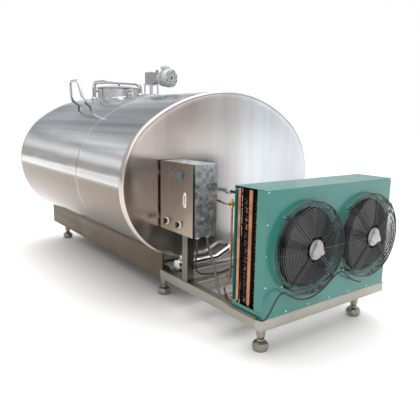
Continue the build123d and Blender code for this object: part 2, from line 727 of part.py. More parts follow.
def motor_nose(x):
    """The fixed part of one fan motor: a three-lobed cover with its stub shaft."""
    nose = rod_y(x, fan_height, front - 78, front - 64, 60)
    nose += rod_y(x, fan_height, front - 96, front - 78, 34)
    for angle in (90, 210, 330):
        lobe_x = x + 33 * math.cos(math.radians(angle))
        lobe_z = fan_height + 33 * math.sin(math.radians(angle))
        nose += rod_y(lobe_x, lobe_z, front - unit_nose, front - 78, 24)
    nose += rod_y(x, fan_height, front - 64, front - 12, 12)
    return nose


def wire_guard(x):
    """Rings of flat-sided wire on eight round spokes that bend back to the panel."""
    def hoop(plane, radius):
        ring = rod_y(x, fan_height, plane - guard_wire, plane + guard_wire, radius + guard_wire)
        return ring - rod_y(x, fan_height, plane - 9, plane + 9, radius - guard_wire)

    rings = []
    ring_plane = front - guard_front
    radius = guard_radius
    while radius > 70:
        rings.append(hoop(ring_plane, radius))
        radius -= guard_ring_step
    for depth in (46, 24):
        rings.append(hoop(front - depth, guard_radius))
    spoke_plane = ring_plane - 2 * guard_wire - 0.05
    outer = guard_radius + 2 * guard_wire + 0.05
    spokes = []
    for angle in (45, 135, 225, 315):
        for side in (-9, 9):
            wire = bent_rod([(60.5, spoke_plane, 0), (outer, spoke_plane, 0), (outer, front - 2, 0)],
                            [12], guard_wire)
            spokes.append(Pos(x, 0, fan_height) * Rot(0, angle, 0) * Pos(0, 0, side) * wire)
        foot = Pos(x, front - 1, fan_height) * Rot(0, angle, 0) * Pos(outer, 0, 0) * Rot(90, 0, 0) * Cylinder(14, 2)
        spokes.append(foot)
    return rings + spokes


def make_compressor():
    """Compressor on its plate, liquid receiver, and the pipes between everything."""
    x, y = compressor_place[0], front + compressor_place[1]
    plate = block(receiver_place[0] - 90, x + 150, front + 440, front + 740, rail_top, rail_top + 6)
    low = rail_top + 6
    mounts = [rod(x + dx, y + dy, low, low + 24, 15) for dx in (-100, 100) for dy in (-90, 90)]
    save("compressor_plate", plate, *mounts)
    pan = block(x - 122, x + 122, y - 108, y + 108, low + 24, low + 28)
    shell = Pos(x, y, 0) * turned([(0, low + 28), (compressor_radius - 16, low + 28),
                                   (compressor_radius, low + 48), (compressor_radius, low + compressor_height - 46),
                                   (compressor_radius - 34, low + compressor_height - 10),
                                   (compressor_radius - 70, low + compressor_height),
                                   (0, low + compressor_height)])
    box = block(x - 40, x + 40, y - compressor_radius - 34, y - compressor_radius + 10, low + 150, low + 240)
    save("compressor", shell + pan + box)
    rx, ry = receiver_place[0], front + receiver_place[1]
    bottle = Pos(rx, ry, 0) * turned([(0, low), (46, low), (46, low + 12), (receiver_radius, low + 30),
                                      (receiver_radius, low + receiver_height - 30),
                                      (receiver_radius - 34, low + receiver_height), (0, low + receiver_height)])
    save("liquid_receiver", bottle)


king_valve = (-384, 540, 848)


def make_pipes():
    """Copper and insulated pipes of the cooling circuit, with the brass valve."""
    vx, vs, vz = king_valve
    vy = front + vs
    header_x = coil_left - 27
    condensate = bent_rod([
        (header_x, front + header_places[0], rail_top + 52),
        (header_x, front + header_places[0], rail_top + 17),
        (header_x + 14, front + 350, rail_top + 14),
        (-470, front + 500, rail_top + 16),
        (vx, vy, rail_top + 70),
        (vx, vy, vz - 24)], [15, 30, 60, 40], 6.5)
    valve = rod(vx, vy, vz - 24, vz + 16, 11) + rod_x(vy, vz, vx - 26, vx + 30, 9)
    valve += [rod(vx, vy, vz - 22, vz - 10, 14), rod_x(vy, vz, vx + 18, vx + 30, 13),
              rod_x(vy, vz, vx - 26, vx - 16, 12)]
    valve -= rod(vx, vy, vz + 2, vz + 20, 4 + running_gap)
    save("king_valve", valve, rod(vx, vy, vz + 3, vz + 24, 4) + rod(vx, vy, vz + 18, vz + 30, 8))
    lx, lz = liquid_port
    feed = bent_rod([(vx - 26, vy, vz), (vx - 45, vy, vz), (lx - 20, tank_front - 120, lz),
                     (lx, tank_front - 50, lz), (lx, tank_front + inner_inset - 3, lz)], [12, 60, 40], 6)
    rx, ry = receiver_place[0], front + receiver_place[1]
    low = rail_top + 6
    back = bent_rod([(vx + 30, vy, vz), (rx, vy, vz), (rx, ry, vz - 60), (rx, ry, low + receiver_height)],
                    [30, 20], 6)
    save("liquid_pipes", condensate, feed, back)
    sx, sz = suction_port
    cx, cy = compressor_place[0], front + compressor_place[1]
    top = low + compressor_height
    suction = bent_rod([(sx, tank_front + inner_inset - 3, sz), (sx, tank_front - 120, sz),
                        (cx - 30, cy + 60, sz - 20), (cx - 30, cy, top + 60), (cx - 30, cy, top)],
                       [60, 60, 30], port_radius)
    save("suction_pipe", suction)


# ---------------------------------------------------------------- control cabinet
def make_cabinet():
    """Post, hollow cabinet with its door, and what the door carries."""
    y0 = front + cabinet_front
    y1 = y0 + cabinet_width
    x0 = cabinet_left + door_thickness + door_gap
    x1 = x0 + cabinet_depth
    top = cabinet_low + cabinet_height
    post_y = front + post_front
    post = box_tube(post_left, post_left + post_width, post_y, post_y + post_depth,
                    rail_top, cabinet_low - 4, rail_wall, "Z")
    post += block(post_left - 12, post_left + post_width + 30, post_y - 25, post_y + post_depth + 25,
                  cabinet_low - 4, cabinet_low)
    save("cabinet_post", post)
    s = cabinet_sheet
    shell = block(x0, x1, y0, y1, cabinet_low, top)
    shell -= block(x0 - 1, x1 - s, y0 + s, y1 - s, cabinet_low + s, top - s)
    pin_x = cabinet_left + door_thickness / 2
    pin_y = y1 + 5
    knuckles = []
    for z in (cabinet_low + 60, top - 100):
        ear = rod(pin_x, pin_y, z, z + 18, 4.7) + block(pin_x, x0 + 12, y1 + 0.3, y1 + 4, z, z + 18)
        ear += block(x0 + 4, x0 + 12, y1 - 1, y1 + 4, z, z + 18)
        shell += ear - rod(pin_x, pin_y, z - 1, z + 19, door_pin_radius)
        knuckles.append(rod(pin_x, pin_y, z, z + 38, door_pin_radius))
    save("cabinet_shell", shell, *knuckles)
    door = block(cabinet_left, cabinet_left + s, y0, y1, cabinet_low, top)
    for wall in ((y0, y0 + s, cabinet_low, top), (y1 - s, y1, cabinet_low, top),
                 (y0, y1, cabinet_low, cabinet_low + s), (y0, y1, top - s, top)):
        door += block(cabinet_left, cabinet_left + door_thickness, *wall)
    for z in (cabinet_low + 78.2, top - 81.8):
        tab = rod(pin_x, pin_y, z, z + 18, 5) + block(cabinet_left, pin_x, y1 - s, y1 + 5, z, z + 18)
        door += tab - rod(pin_x, pin_y, z - 1, z + 19, door_pin_radius + running_gap)
    return door, y0, x0, x1, top


def make_door_fittings(door, y0, x0, x1, top):
    """Display with keys, oval lock and the two selector switches."""
    face = cabinet_left
    display = (y0 + 123, y0 + 291, 1000, 1051)
    panel = block(face - 4, face, display[0], display[1], display[2], display[3])
    window = block(face - 5, face - 2, display[0] + 74, display[1] - 24, display[2] + 14, display[3] - 12)
    body = block(face - 1, face + 12, display[0] + 8, display[1] - 8, display[2] + 5, display[3] - 5)
    key_spots = [(display[0] + 30, 1014), (display[0] + 30, 1036)]
    holes = [rod_x(y, z, face - 10, face - 2, 7.3) for y, z in key_spots]
    save("display_unit", (panel - window - holes) + body)
    for number, (y, z) in enumerate(key_spots, start=1):
        save(f"display_key_{number}", rod_x(y, z, face - 5, face - 3.2, 7))
    lock_y, lock_z = y0 + 92, 862
    plate = block(face - 3, face, lock_y - 14, lock_y + 14, lock_z - 38, lock_z + 38)
    plate += [rod_x(lock_y, lock_z + dz, face - 3, face, 14) for dz in (-38, 38)]
    bore = rod_x(lock_y, lock_z, face - 60, face + 60, 5 + running_gap)
    plate -= bore
    lever = block(face - 12, face - 3.3, lock_y - 8, lock_y + 8, lock_z - 34, lock_z + 34)
    lever = fillet(lever.edges().filter_by(Axis.X), 7) + rod_x(lock_y, lock_z, face - 6, face + 13, 5)
    lever += block(face + 9, face + 13, lock_y - 24, lock_y + 6, lock_z - 6, lock_z + 6)
    save("lock_lever", lever)
    switch_spots = [(y0 + 318, 683), (y0 + 163, 683)]
    switch_holes = []
    rings = []
    for number, (y, z) in enumerate(switch_spots, start=1):
        rings.append(rod_x(y, z, face - 6, face, 24) - rod_x(y, z, face - 10, face + 10, 9 + running_gap))
        knob = rod_x(y, z, face - 14, face - 6.3, 17) + rod_x(y, z, face - 8, face + 12, 9)
        knob += block(face - 28, face - 14, y - 6, y + 6, z - 20, z + 20)
        save(f"selector_knob_{number}", knob)
        switch_holes.append(rod_x(y, z, face - 5, face + 5, 9 + running_gap))
    save("door_fittings", plate, *rings)
    door -= block(face - 1, face + 2, display[0] + 8, display[1] - 8, display[2] + 5, display[3] - 5)
    door -= switch_holes
    door -= bore
    save("cabinet_door", door)
    rail_y0, rail_y1 = y0 + 40, y0 + cabinet_width - 40
    gear = [block(x1 - 12, x1 - cabinet_sheet, rail_y0, rail_y1, z - 17, z + 17) for z in (760, 940)]
    for step in range(4):
        gear.append(block(x1 - 90, x1 - 12.2, rail_y0 + 12 + 62 * step, rail_y0 + 62 + 62 * step, 900, 980))
    for step in range(10):
        gear.append(block(x1 - 52, x1 - 12.2, rail_y0 + 10 + 26 * step, rail_y0 + 34 + 26 * step, 738, 782))
    save("switchgear", *gear)


# ---------------------------------------------------------------- cables
conduit_points = [
    (-462, 705, 598), (-462, 705, 552), (-468, 664, 498), (-486, 596, 440), (-512, 536, 380),
    (-540, 482, 325), (-566, 425, 294), (-592, 360, 288), (-601, 300, 279), (-603, 245, 274),
    (-602, 190, 275), (-603, 135, 274), (-602, 82, 275), (-602, 34, 275),
]
fan_cable_points = [
    (-602, 33.8, 275), (-602, -3, 275), (-597, -29, 291), (-582, -42, 321), (-560, -46, 358),
    (-530, -42, 396), (-494, -38, 425), (-453, -36, 428), (-412, -35, 396), (-350, -35, 362),
    (-272, -36, 342), (-191, -35, 348), (-112, -35, 376), (-43, -36, 424), (20, -40, 462),
    (72, -38, 452), (128, -35, 408), (190, -35, 369), (262, -36, 345),
]
compressor_cable_points = [
    (-551, 698, 598), (-551, 698, 540), (-554, 704, 476), (-548, 728, 412), (-515, 762, 352),
    (-460, 790, 304), (-395, 792, 292), (-330, 780, 288), (-265, 745, 300), (-215, 715, 336),
]


def smooth_radii(points):
    """For each inner point, an arc as large as its two runs allow."""
    radii = []
    for a, b, c in zip(points, points[1:], points[2:]):
        one = Vector(*b) - Vector(*a)
        two = Vector(*c) - Vector(*b)
        half_turn = math.radians(one.get_angle(two)) / 2
        radii.append(0.45 * min(one.length, two.length) / math.tan(half_turn))
    return radii


def make_cable(name, points, radius):
    """A cable of round section along its own route, with y measured from the frame's front."""
    route = [(x, front + y, z) for x, y, z in points]
    radii = smooth_radii(route)
    path = bent_path(route, radii)
    cable = bent_rod(route, radii, radius)
    turns = [round(r) for r in radii]
    share = cable.volume / (math.pi * radius ** 2 * path.length)
    print(name, "length", round(path.length), "radii", turns, "volume over section x length", round(share, 4))
    save(name, cable)


def make_cable_fittings():
    """Glands under the cabinet and the clip that holds the conduit on the rail."""
    glands = []
    for x, y, _ in (conduit_points[0], compressor_cable_points[0]):
        glands.append(rod(x, front + y, 598, cabinet_low, 15))
    sx, sz = suction_port
    collar = rod_y(sx, sz, tank_front - 26, tank_front, 24)
    save("glands", *glands, collar - rod_y(sx, sz, tank_front - 30, tank_front + 5, port_radius))


make_outer_skin()
make_inner_tank()
make_base()
make_front_frame()
make_legs()
make_manhole()
make_agitator()
make_top_pipes()
make_outlet()
make_unit_case()
make_coil()
for fan_number, fan_x in enumerate(fan_offsets, start=1):
    make_impeller(fan_number, fan_x)
save("fan_motor_noses", *[motor_nose(x) for x in fan_offsets])
save("fan_guards", *[piece for x in fan_offsets for piece in wire_guard(x)])
make_compressor()
make_pipes()
make_door_fittings(*make_cabinet())
make_cable("fan_conduit", conduit_points, 9)
make_cable("fan_cable", fan_cable_points, 5)
make_cable("compressor_cable", compressor_cable_points, 7)
make_cable_fittings()
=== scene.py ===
import json
import math
import random

import bmesh
import bpy
from mathutils import Matrix, Vector


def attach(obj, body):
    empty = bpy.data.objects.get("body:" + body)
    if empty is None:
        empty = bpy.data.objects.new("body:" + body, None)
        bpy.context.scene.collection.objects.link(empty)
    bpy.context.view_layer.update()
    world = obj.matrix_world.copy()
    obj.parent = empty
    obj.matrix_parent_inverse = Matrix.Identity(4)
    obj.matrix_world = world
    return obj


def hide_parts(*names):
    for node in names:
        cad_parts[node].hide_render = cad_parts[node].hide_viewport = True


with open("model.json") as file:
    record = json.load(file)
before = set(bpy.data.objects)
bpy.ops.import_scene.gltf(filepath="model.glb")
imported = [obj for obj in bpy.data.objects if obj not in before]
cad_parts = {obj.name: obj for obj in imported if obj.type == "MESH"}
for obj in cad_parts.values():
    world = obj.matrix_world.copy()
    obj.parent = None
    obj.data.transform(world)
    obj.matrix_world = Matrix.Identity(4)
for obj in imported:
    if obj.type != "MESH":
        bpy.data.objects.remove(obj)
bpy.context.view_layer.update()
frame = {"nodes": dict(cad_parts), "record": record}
nodes = frame["nodes"]

# Sizes in metres, in the machine's own frame.
FRONT = -1.75               # front of the base frame and of the fan panel
TANK_FRONT = -0.675
TANK_REAR = 1.78
HALF_WIDTH = 0.924
RISE = 0.689
DROP = 0.622
CORNER = 0.565
WIDEST = 0.916              # height of the tank's widest line
STRIP_PLACE = 0.827         # from the tank's front to the middle of the joint strip
FAN_X = (-0.245, 0.318)
FAN_Z = 0.656
MANHOLE_Y = 1.225
SHAFT_Y = 0.525
SPRAY_X = -0.29             # the cleaning pipe's left end
SPRAY_Y = SHAFT_Y + 0.225   # its end at the middle
RAIL_LOW = 0.2
RAIL_TOP = 0.272
RAIL_HALF = 0.03            # half the width of a square tube
BEAM_ROWS = (-1.61, -1.32, -1.003, -0.755)
TANK_BEAM_ROWS = (-0.468, 0.61, 1.702)
LEG_ROWS = (-1.61, -0.468, 1.702)
LEG_X = 0.462

X, Y, Z = (1, 0, 0), (0, 1, 0), (0, 0, 1)


# ---------------------------------------------------------------- finishes
class Value:
    """A number that changes over a surface. An expression on values adds its Math nodes."""

    def __init__(self, finish, socket):
        self.finish = finish
        self.socket = socket

    def math(self, kind, *others):
        return self.finish.node("ShaderNodeMath", {"operation": kind}, dict(enumerate((self, *others))))

    def __add__(self, other):
        return self.math("ADD", other)

    def __sub__(self, other):
        return self.math("SUBTRACT", other)

    def __rsub__(self, other):
        return self.finish.node("ShaderNodeMath", {"operation": "SUBTRACT"}, {0: other, 1: self})

    def __mul__(self, other):
        return self.math("MULTIPLY", other)

    __radd__ = __add__
    __rmul__ = __mul__

    def between(self, low, high, at_low=0.0, at_high=1.0):
        """Runs from at_low to at_high as the value goes from low to high, and stops there."""
        return self.finish.node("ShaderNodeMapRange", {"clamp": True},
                                {0: self, 1: low, 2: high, 3: at_low, 4: at_high})


class Finish:
    """One material: a principled shader whose sockets take numbers, values and colours."""

    def __init__(self, name, **sockets):
        self.material = bpy.data.materials.new(name)
        self.material.use_nodes = True
        self.tree = self.material.node_tree
        self.shader = next(n for n in self.tree.nodes if n.type == "BSDF_PRINCIPLED")
        self.points = self.node("ShaderNodeTexCoord", output="Object")
        self.set(**sockets)

    def node(self, kind, settings=None, sockets=None, output=0):
        new = self.tree.nodes.new(kind)
        for key, value in (settings or {}).items():
            setattr(new, key, value)
        for key, value in (sockets or {}).items():
            self.feed(new.inputs[key], value)
        return Value(self, new.outputs[output])

    def feed(self, socket, value):
        if isinstance(value, Value):
            self.tree.links.new(value.socket, socket)
        elif socket.type == "RGBA" and len(value) == 3:
            socket.default_value = (*value, 1)
        else:
            socket.default_value = value

    def set(self, **sockets):
        for key, value in sockets.items():
            self.feed(self.shader.inputs[key.replace("_", " ")], value)
        return self

    def stretched(self, stretch):
        return self.node("ShaderNodeVectorMath", {"operation": "MULTIPLY"}, {0: self.points, 1: stretch})

    def noise(self, scale, stretch=(1, 1, 1), detail=3.0, rough=0.5, twist=0.0):
        sockets = {"Vector": self.stretched(stretch), "Scale": scale, "Detail": detail, "Roughness": rough,
                   "Distortion": twist}
        return self.node("ShaderNodeTexNoise", {}, sockets)

    def cells(self, scale, stretch=(1, 1, 1)):
        tiles = self.node("ShaderNodeTexVoronoi", {}, {"Vector": self.stretched(stretch), "Scale": scale},
                          output="Color")
        return self.node("ShaderNodeSeparateColor", {}, {0: tiles})

    def axis(self, index):
        return self.node("ShaderNodeSeparateXYZ", {}, {0: self.points}, output=index)

    def mix(self, factor, low, high):
        """A colour between low and high."""
        blend = self.node("ShaderNodeMix", {"data_type": "RGBA"}, {0: factor}, output=2)
        mixer = blend.socket.node
        self.feed(mixer.inputs[6], low)
        self.feed(mixer.inputs[7], high)
        return blend

    def relief(self, *layers):
        """Bumps stacked one on another, each a height value and its depth in metres."""
        below = None
        for height, depth in layers:
            sockets = {"Height": height, "Distance": depth, "Strength": 1.0}
            if below:
                sockets["Normal"] = below
            below = self.node("ShaderNodeBump", {}, sockets)
        return self.set(Normal=below)


ACROSS = {"x": (3, 400, 400), "y": (400, 3, 400), "z": (400, 400, 3)}   # streaks along the named axis
finishes = {}


def stainless(name, colour, shade, rough, brush="y", swing=0.1, streak=0.00002, wave=0.0006, low_darkening=0.0):
    """Brushed stainless sheet: fine streaks along one axis, a soft swing of tone, and slight waves."""
    f = Finish(name, Metallic=1.0)
    streaks = f.noise(1.0, ACROSS[brush], 2.0, 0.6)
    broad = f.noise(1.0, tuple(v / 20 for v in ACROSS[brush]), 3.0)
    cloud = f.noise(2.3, detail=4.0)
    tone = (streaks.between(0.3, 0.7, -0.5, 0.5) + broad.between(0.3, 0.7, -0.5, 0.5)) * swing
    # Random cloudy tone, plus a weighted pull to the darker colour towards the bottom: none above 0.9 m, full
    # below 0.2 m.
    aged = cloud.between(0.35, 0.65) * (1 - low_darkening) + low_darkening * f.axis(2).between(0.9, 0.2)
    f.set(Base_Color=f.mix(aged, colour, shade),
          Roughness=rough + tone + cloud.between(0.3, 0.7, -0.03, 0.05))
    layers = [(streaks, streak)]
    if wave:
        layers.insert(0, (f.noise(1.6, detail=1.0), wave * 8))
    f.relief(*layers)
    finishes[name] = f
    return f


def paint(name, colour, dark, rough, coat=0.3, bump=0.00006, speck=420.0):
    """Sprayed or moulded surface with fine grain and a little uneven tone."""
    f = Finish(name, Coat_Roughness=0.12)
    grain = f.noise(speck, detail=2.0)
    cloud = f.noise(5.0, detail=5.0, rough=0.6)
    f.set(Base_Color=f.mix(cloud.between(0.3, 0.75) * 0.7 + grain.between(0.4, 0.7) * 0.3, colour, dark),
          Roughness=rough + cloud.between(0.3, 0.7, -0.05, 0.07), Coat_Weight=coat)
    f.relief((grain, bump))
    finishes[name] = f
    return f


def make_jacket_finishes():
    """The jacket's painted reflection bands above its widest line and painted shade below it, its seam line,
    the joint strip's dark middle and painted highlights at its edges, and the end caps' upright smears and
    painted warm-to-cool reflection from left to right.
    """
    jacket = stainless("polished_jacket", (0.60, 0.61, 0.63), (0.54, 0.54, 0.55), 0.13, "y", 0.05, 0.000010)
    z = jacket.axis(2)
    seam = (z - WIDEST).math("ABSOLUTE").between(0.0025, 0.0050, 1.0, 0.0)
    # Painted reflections: horizontal bands along the barrel, dark to mid grey near the crest and pale on the
    # flanks, blended by height.
    painted_reflection_band = jacket.noise(1.0, (0.5, 0.12, 7.0), 3.0, 0.55)
    high = jacket.mix(painted_reflection_band.between(0.38, 0.62), (0.13, 0.135, 0.15), (0.56, 0.57, 0.59))
    flank_painted_reflection = jacket.mix(painted_reflection_band.between(0.38, 0.62), (0.52, 0.53, 0.54), (0.90, 0.90, 0.89))
    upper_painted_reflection = jacket.mix(z.between(1.38, 1.14), high, flank_painted_reflection)
    # Painted shade: a warm dark colour on the barrel below its widest line, fading out a little above it.
    lower_painted_shade = jacket.mix(z.between(0.75, 0.35), (0.20, 0.153, 0.112), (0.155, 0.117, 0.082))
    lower_shade_mask = z.between(WIDEST + 0.004, WIDEST - 0.012) * 0.8 + z.between(1.02, 0.84) * 0.2
    base = jacket.mix(lower_shade_mask, upper_painted_reflection, lower_painted_shade)
    lap = (jacket.axis(1) - (TANK_FRONT + STRIP_PLACE)).math("ABSOLUTE")
    # The joint strip: a dark middle, partly the joint's own darkness and partly painted shade, with painted
    # highlights just beyond its edges, laid over the painted reflection and shade near the strip.
    strip = jacket.mix(lap.between(0.0060, 0.0075), (0.22, 0.225, 0.26), (0.90, 0.90, 0.92))
    painted_light_and_strip = jacket.mix(lap.between(0.0095, 0.0115, 0.85, 0.0), base, strip)
    jacket.set(Base_Color=jacket.mix(seam * 0.75, painted_light_and_strip, (0.16, 0.13, 0.11)))
    end = stainless("brushed_end", (0.62, 0.61, 0.61), (0.56, 0.54, 0.53), 0.20, "z", 0.03, 0.000008, 0.0005)
    smear = end.noise(1.0, (5.0, 5.0, 0.35), 3.0, 0.55)
    # Painted reflection: warm on the left of each end, cool on the right.
    across_painted_reflection = end.mix(end.axis(0).between(-0.45, 0.35), (0.60, 0.53, 0.50), (0.50, 0.53, 0.56))
    end.set(Base_Color=end.mix(smear.between(0.35, 0.7) * 0.55, across_painted_reflection, (0.34, 0.32, 0.31)))


def make_steels():
    """Stainless sheet and bar, each with its own brushing, and the galvanised cabinet."""
    stainless("vessel_steel", (0.70, 0.71, 0.72), (0.62, 0.62, 0.63), 0.28, "y")
    stainless("frame_steel", (0.35, 0.335, 0.285), (0.27, 0.255, 0.215), 0.42, "y", 0.10, 0.00002, 0.0, 0.25)
    stainless("cross_steel", (0.44, 0.43, 0.39), (0.35, 0.34, 0.30), 0.42, "x", 0.10, 0.00002, 0.0, 0.25)
    stainless("brushed_skirt", (0.135, 0.100, 0.068), (0.100, 0.073, 0.048), 0.40, "y", 0.12, 0.00002, 0.0003,
              0.2)
    stainless("foot_steel", (0.42, 0.39, 0.34), (0.28, 0.255, 0.22), 0.36, "z", 0.1, 0.00002, 0.0, 0.3)
    stainless("top_steel", (0.78, 0.78, 0.79), (0.68, 0.68, 0.69), 0.20, "x", 0.08, 0.000015, 0.0003)
    stainless("clamp_steel", (0.42, 0.42, 0.42), (0.30, 0.30, 0.30), 0.30, "z", 0.08, 0.00001, 0.0)
    stainless("gear_steel", (0.55, 0.55, 0.55), (0.42, 0.42, 0.42), 0.3, "z", 0.08, 0.00001, 0.0)
    stainless("polished_pipe", (0.60, 0.60, 0.61), (0.48, 0.48, 0.49), 0.12, "z", 0.04, 0.000004, 0.0)
    stainless("valve_steel", (0.76, 0.75, 0.74), (0.62, 0.61, 0.60), 0.22, "x", 0.06, 0.00001, 0.0)
    stainless("post_steel", (0.20, 0.195, 0.17), (0.13, 0.13, 0.11), 0.30, "z", 0.12, 0.00002, 0.0)
    door = stainless("brushed_door", (0.62, 0.60, 0.57), (0.55, 0.50, 0.44), 0.30, "z", 0.14, 0.00003, 0.0003)
    # Painted shade: the door is darker towards its top, and paler and warmer towards its bottom.
    tone = door.axis(2).between(1.02, 0.66)
    door.set(Base_Color=door.mix(tone, (0.185, 0.160, 0.140), (0.33, 0.275, 0.21)))

    zinc = Finish("galvanised", Metallic=0.85)
    flakes = zinc.cells(46.0, (1, 1, 0.8))
    frost = zinc.noise(9.0, detail=5.0, rough=0.65, twist=1.2)
    zinc.set(Base_Color=zinc.mix(flakes.between(0.1, 0.9) * 0.5 + frost.between(0.35, 0.65) * 0.5,
                                 (0.34, 0.37, 0.38), (0.70, 0.73, 0.75)),
             Roughness=flakes.between(0, 1, 0.30, 0.5))
    zinc.relief((flakes, 0.00004), (frost, 0.0001))
    finishes["galvanised"] = zinc


def make_paints():
    """Painted, moulded and rubber parts."""
    paint("green_paint", (0.010, 0.185, 0.150), (0.008, 0.145, 0.118), 0.32, 0.5)
    paint("gear_paint", (0.30, 0.31, 0.32), (0.22, 0.23, 0.24), 0.42, 0.2)
    paint("motor_paint", (0.52, 0.53, 0.53), (0.40, 0.41, 0.41), 0.40, 0.25)
    paint("guard_black", (0.006, 0.006, 0.006), (0.011, 0.011, 0.011), 0.22, 0.9, 0.00001)
    paint("compressor_black", (0.020, 0.020, 0.021), (0.035, 0.034, 0.033), 0.42, 0.4)
    paint("fan_black", (0.016, 0.0165, 0.018), (0.030, 0.030, 0.032), 0.50, 0.0, 0.00005)
    paint("black_plastic", (0.014, 0.014, 0.015), (0.026, 0.026, 0.026), 0.35, 0.2)
    paint("black_rubber", (0.018, 0.018, 0.018), (0.03, 0.03, 0.03), 0.62, 0.0, 0.00008)
    paint("pipe_sleeve", (0.014, 0.014, 0.014), (0.028, 0.028, 0.028), 0.72, 0.0, 0.0002, 300.0)
    paint("cable_black", (0.015, 0.015, 0.015), (0.028, 0.027, 0.026), 0.45, 0.1, 0.00004)
    paint("gland_white", (0.76, 0.75, 0.72), (0.66, 0.65, 0.62), 0.40, 0.2)
    paint("fitting_white", (0.82, 0.82, 0.82), (0.72, 0.72, 0.72), 0.22, 0.5, 0.00001)
    paint("switchgear_grey", (0.22, 0.23, 0.24), (0.16, 0.165, 0.17), 0.5, 0.0)
    paint("key_grey", (0.10, 0.17, 0.20), (0.07, 0.12, 0.14), 0.4, 0.2)
    paint("display_black", (0.045, 0.085, 0.105), (0.03, 0.06, 0.075), 0.28, 0.5, 0.00003)
    paint("foam", (0.80, 0.72, 0.50), (0.70, 0.60, 0.38), 0.9, 0.0, 0.0006, 120.0)
    paint("tape_blue", (0.02, 0.13, 0.19), (0.015, 0.09, 0.14), 0.45, 0.2, 0.0002, 160.0)
    paint("conduit_grey", (0.115, 0.098, 0.080), (0.075, 0.064, 0.054), 0.5, 0.05)
    for name in ("fan_black", "guard_black", "compressor_black"):
        finishes[name].set(Specular_IOR_Level=0.25)


def make_warm_metals():
    """Copper clean and aged, brass, and the small cast and plated parts."""
    copper = stainless("copper", (0.72, 0.36, 0.23), (0.50, 0.20, 0.11), 0.24, "z", 0.10, 0.00001, 0.0)
    old = copper.noise(14.0, detail=5.0, rough=0.65)
    copper.set(Base_Color=copper.mix(old.between(0.35, 0.7), (0.50, 0.235, 0.15), (0.23, 0.10, 0.060)))
    bends = paint("dark_copper", (0.060, 0.030, 0.022), (0.012, 0.010, 0.009), 0.38, 0.2)
    worn = bends.noise(22.0, detail=4.0)
    bends.set(Base_Color=bends.mix(worn.between(0.44, 0.56), (0.030, 0.018, 0.013), (0.46, 0.20, 0.115)),
              Metallic=worn.between(0.5, 0.65, 0.3, 1.0))
    stainless("brass", (0.78, 0.56, 0.24), (0.55, 0.37, 0.14), 0.24, "z", 0.08, 0.00001, 0.0)
    stainless("screw_zinc", (0.80, 0.81, 0.80), (0.66, 0.67, 0.66), 0.3, "z", 0.08, 0.00001, 0.0)
    cast = stainless("cast_aluminium", (0.50, 0.485, 0.475), (0.38, 0.37, 0.36), 0.46, "z", 0.04, 0.00001,
                     0.0)
    cast.relief((cast.noise(260.0, detail=3.0), 0.00012))
    stainless("lock_chrome", (0.86, 0.86, 0.87), (0.78, 0.78, 0.79), 0.16, "z", 0.03, 0.000005, 0.0)


def make_coil_and_display_finishes():
    """The coil's fins, the display's lights and glass, and the floor."""
    fins = Finish("coil_fins", Metallic=0.0, Specular_IOR_Level=0.1)
    leaf = (fins.axis(0) * 2600.0).math("SINE")
    dust = fins.noise(30.0, detail=5.0)
    fins.set(Base_Color=fins.mix(leaf.between(-0.6, 0.8) * 0.7 + dust.between(0.4, 0.7) * 0.3,
                                 (0.004, 0.004, 0.004), (0.024, 0.022, 0.019)),
             Roughness=dust.between(0.3, 0.7, 0.6, 0.8))
    fins.relief((leaf, 0.0006))
    finishes["coil_fins"] = fins

    for name, colour, glow in (("lit_red", (0.60, 0.02, 0.02), 0.6), ("lit_cyan", (0.08, 0.55, 0.52), 0.7)):
        lit = Finish(name, Roughness=0.4, Emission_Strength=glow)
        shade = lit.mix(lit.noise(900.0).between(0.3, 0.7), colour, tuple(c * 0.8 for c in colour))
        lit.set(Base_Color=shade, Emission_Color=shade)
        finishes[name] = lit
    paint("window_glass", (0.010, 0.014, 0.018), (0.016, 0.020, 0.024), 0.08, 0.8, 0.00001)
    paint("pale_floor", (0.92, 0.915, 0.91), (0.90, 0.895, 0.885), 0.75, 0.0, 0.0002, 60.0)


# ---------------------------------------------------------------- mesh code
def close_mesh(bm, sharp=35):
    """Smooth faces, with edges over the sharp angle kept crisp."""
    bmesh.ops.recalc_face_normals(bm, faces=bm.faces)
    for face in bm.faces:
        face.smooth = True
    for edge in bm.edges:
        if len(edge.link_faces) == 2 and edge.calc_face_angle(0) > math.radians(sharp):
            edge.smooth = False


def piece(name, bm, finish, body="tank", stands_for=(), sharp=35):
    """Turns mesh work into an object that rides on a body."""
    close_mesh(bm, sharp)
    mesh = bpy.data.meshes.new(name)
    bm.to_mesh(mesh)
    bm.free()
    obj = bpy.data.objects.new(name, mesh)
    bpy.context.scene.collection.objects.link(obj)
    return settle(obj, finish, body, stands_for)


def settle(obj, finish, body="tank", stands_for=()):
    """Gives an object its finish, body and slot, and the CAD nodes that it stands for."""
    obj.data.materials.clear()
    obj.data.materials.append(finishes[finish].material)
    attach(obj, body)
    if stands_for:
        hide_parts(*stands_for)
    return obj


def loft(bm, rings, closed=True, cap_first=True, cap_last=True):
    """Skins rings of points that all have the same count."""
    rows = [[bm.verts.new(p) for p in ring] for ring in rings]
    count = len(rows[0])
    last = count if closed else count - 1
    for a, b in zip(rows, rows[1:]):
        for i in range(last):
            j = (i + 1) % count
            bm.faces.new((a[i], a[j], b[j], b[i]))
    if cap_first:
        bm.faces.new(rows[0][::-1])
    if cap_last:
        bm.faces.new(rows[-1])
    return rows


